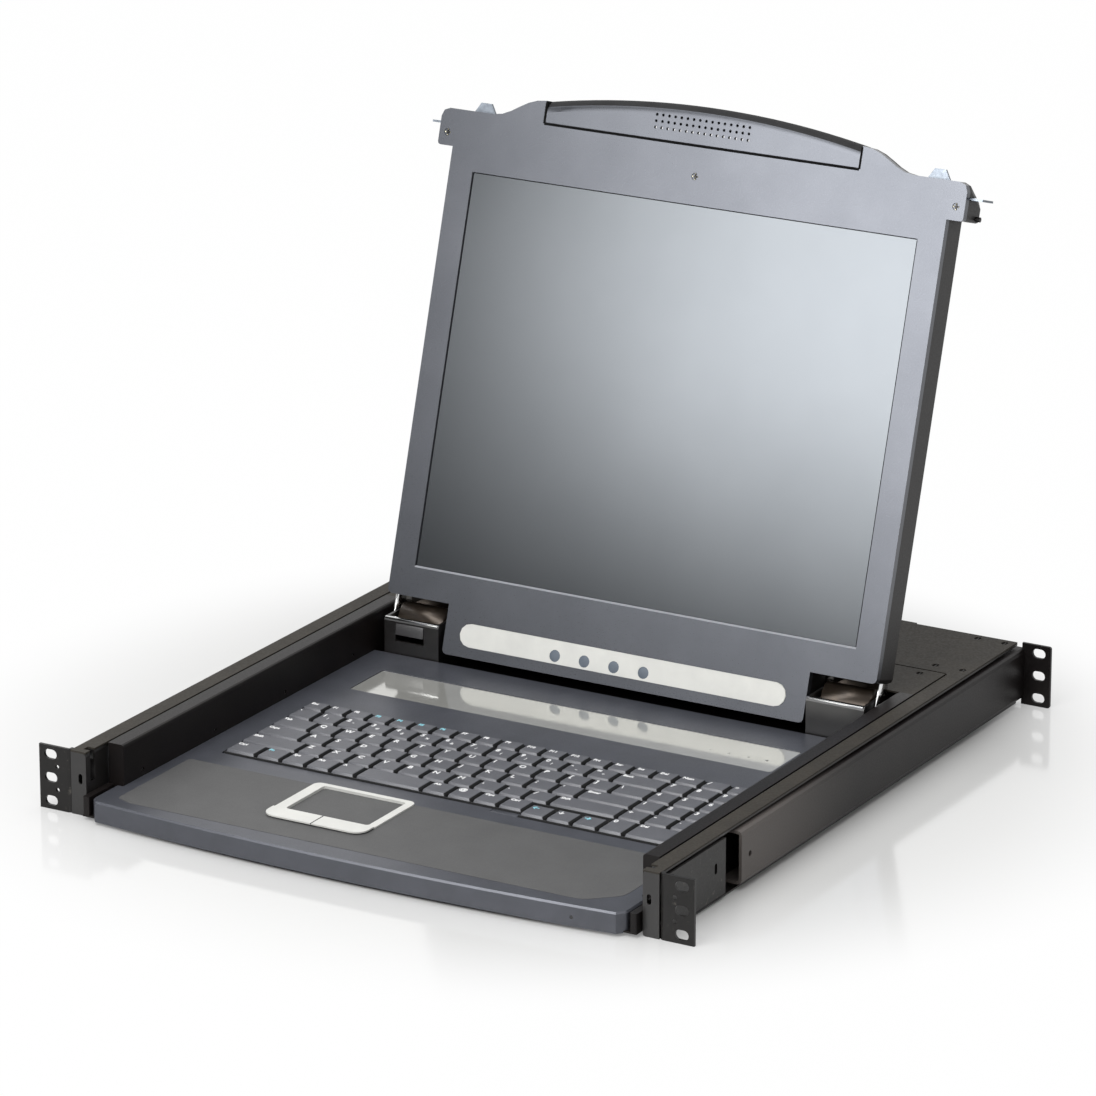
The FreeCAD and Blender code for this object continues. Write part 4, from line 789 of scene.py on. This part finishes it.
# ---- Lid shell, front moulding and screen
# A black ABS rear shell and a front frame in metallic slate paint, screwed
# together around the panel.  The panel has an antiglare front polariser.

# Paint with coarse flake: it goes from near black to pale grey with the light.
lid_paint, tree, shader, place = finish("slate_metallic_paint", "#4e5055", "#55575c",
                                        {"IOR": 1.5, "Metallic": 0.75}, 60 * MM)
grain(tree, shader, place, 0.5 * MM, 0.003 * MM, 0.27, 0.31)
wear(lid_paint, "lcd_bezel")
# Grained shell, dull and slightly brown.
shell, tree, shader, place = finish("grained_ABS_shell", "#0e0c0b", "#151211",
                                    {"IOR": 1.5, "Specular IOR Level": 0.35})
grain(tree, shader, place, 1.1 * MM, 0.04 * MM, 0.42, 0.55)
wear(shell, "lcd_shell")
# Antiglare haze over a dark cell: it mirrors what stands before it in soft, dark greys.
haze, tree, shader, place = finish("antiglare_polariser", "#54575a", "#585b5e",
                                   {"IOR": 1.5, "Metallic": 0.8}, 120 * MM)
grain(tree, shader, place, 0.5 * MM, 0.003 * MM, 0.13, 0.16)
wear(haze, "lcd_screen")

# A chamfered sill along the screen's lower edge catches the light as a thin line: partly a real reflection
# off its chamfer, and partly a painted highlight, since its paint is made paler than the frame's.
sill_painted_highlight, tree, shader, place = finish("sill_painted_highlight_paint", "#85878d", "#909298", {"IOR": 1.5}, 9 * MM)
grain(tree, shader, place, 0.8 * MM, 0.004 * MM, 0.35, 0.45)
screen_points = [vert.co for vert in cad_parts["lcd_screen"].data.vertices]
lid_up = Vector((0, lid_normal.z, -lid_normal.y))
frame_lap = 3.3 * MM
sill_foot = min(point.dot(lid_up) for point in screen_points) + frame_lap
sill_half = max(point.x for point in screen_points) - frame_lap
sill_side = 1.2 * MM
sill_sink = 0.57 * MM
sill_chamfer = 0.7 * MM
lid_front = max(vert.co.dot(lid_normal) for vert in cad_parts["lcd_bezel"].data.vertices)
lid_turn = Matrix(((1, 0, 0), lid_up, lid_normal)).transposed().to_4x4()
shape = bmesh.new()
block(shape, (2 * sill_half, sill_side, sill_side), (0, sill_foot, lid_front - sill_sink))
crest = [line for line in shape.edges
         if all(vert.co.y > sill_foot and vert.co.z > lid_front - sill_sink for vert in line.verts)]
round_edges(shape, crest, sill_chamfer, 1)
bmesh.ops.transform(shape, matrix=lid_turn, verts=shape.verts)
sill = flat_piece("screen_sill", shape, sill_painted_highlight)
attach(sill, "lid")

# ---- Lid handle and the painted shadow round it
# A perforated bar between the lid's shoulders.  Its front has the lid's paint, and its rounded top is
# painted dark as shade.  A black strip in the slot under it and at its ends is painted shadow.

# Painted shade: a soft dark band along the top of the grip, where its rounding turns from the light.
grip_top_painted_shade, tree, shader, place = finish("grip_top_painted_shade_ABS", "#1d1d1e", "#262627",
                                         {"IOR": 1.5, "Specular IOR Level": 0.15})
grain(tree, shader, place, 0.9 * MM, 0.03 * MM, 0.6, 0.72)
# How squarely a face looks forward (1 is straight) to take the lid's paint rather than the painted shade,
# or to be a flat front.
painted = 0.9
flat_front = 0.999
shape = welded("lid_handle")
for face in shape.faces:
    facing = face.normal.dot(lid_normal)
    face.material_index = 0 if facing > painted else 1
    face.smooth = facing < flat_front
for line in shape.edges:
    facings = [face.normal.dot(lid_normal) > flat_front for face in line.link_faces]
    line.smooth = facings.count(True) != 1 and line.calc_face_angle(0) < math.radians(32)
grip = flat_piece("handle_bar", shape, lid_paint, grip_top_painted_shade)
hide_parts("lid_handle")
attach(grip, "lid")

# Painted shadow: a black strip in the slot under the bar and at its ends draws a black line round the bar.
gap_shadow, tree, shader, place = finish("painted_gap_shadow", "#060606", "#0b0b0b",
                                   {"IOR": 1.4, "Specular IOR Level": 0.1})
grain(tree, shader, place, 0.5 * MM, 0.05 * MM, 0.8, 0.9)
foot = min(vert.co.dot(lid_up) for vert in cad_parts["lid_handle"].data.vertices)
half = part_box("lid_handle")[1][0]
gap_shadow_wide = 1.8 * MM
gap_shadow_deep = 2.4 * MM
gap_shadow_tall = 15 * MM
gap_shadow_proud = 0.1 * MM
gap_shadow_drop = 0.1 * MM
gap_shadow_round = 0.4 * MM
gap_shadow_level = lid_front + gap_shadow_proud - gap_shadow_deep / 2
shape = bmesh.new()
block(shape, (2 * half, gap_shadow_wide, gap_shadow_deep), (0, foot - gap_shadow_drop, gap_shadow_level))
for x in (-half, half):
    block(shape, (gap_shadow_wide, gap_shadow_tall, gap_shadow_deep), (x, foot + gap_shadow_tall / 2, gap_shadow_level))
round_edges(shape, shape.edges, gap_shadow_round)
bmesh.ops.transform(shape, matrix=lid_turn, verts=shape.verts)
gap_shadow_piece = flat_piece("handle_gap_shadow", shape, gap_shadow)
smooth(gap_shadow_piece)
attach(gap_shadow_piece, "lid")

# ---- Control buttons on the lid
# Four round ABS caps in blue-grey, each dished for a fingertip, that press
# straight into the silver strip.

# Fine grain all over, so the rim takes only a soft highlight.
button, tree, shader, place = finish("blue_grey_ABS_button", "#565e68", "#5f6771",
                                     {"IOR": 1.5, "Specular IOR Level": 0.25}, 6 * MM)
grain(tree, shader, place, 0.5 * MM, 0.006 * MM, 0.40, 0.50)
button_sides = 32
button_depth = 2.6 * MM
button_proud = 1.85 * MM
button_round = 0.6 * MM
dish_steps = ((1.1 * MM, 0), (1.4 * MM, -0.35 * MM), (1.0 * MM, -0.1 * MM))
turn = lid_normal.to_track_quat("Z", "Y").to_matrix().to_4x4()
for number in range(1, 5):
    node = "osd_button_%d" % number
    low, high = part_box(node)
    radius = (high[0] - low[0]) / 2
    shape = bmesh.new()
    bmesh.ops.create_circle(shape, cap_ends=True, segments=button_sides, radius=radius)
    shape.faces.ensure_lookup_table()
    face = shape.faces[0]
    for width, depth in dish_steps:
        bmesh.ops.inset_region(shape, faces=[face], thickness=width, depth=depth)
    add_skirt(shape, button_depth, button_round, button_sides)
    middle = (Vector(low) + Vector(high)) / 2 + lid_normal * button_proud
    bmesh.ops.transform(shape, matrix=Matrix.Translation(middle) @ turn, verts=shape.verts)
    cap = flat_piece("control_button_%d" % number, shape, button)
    smooth(cap, 35)
    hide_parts(node)
    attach(cap, node)
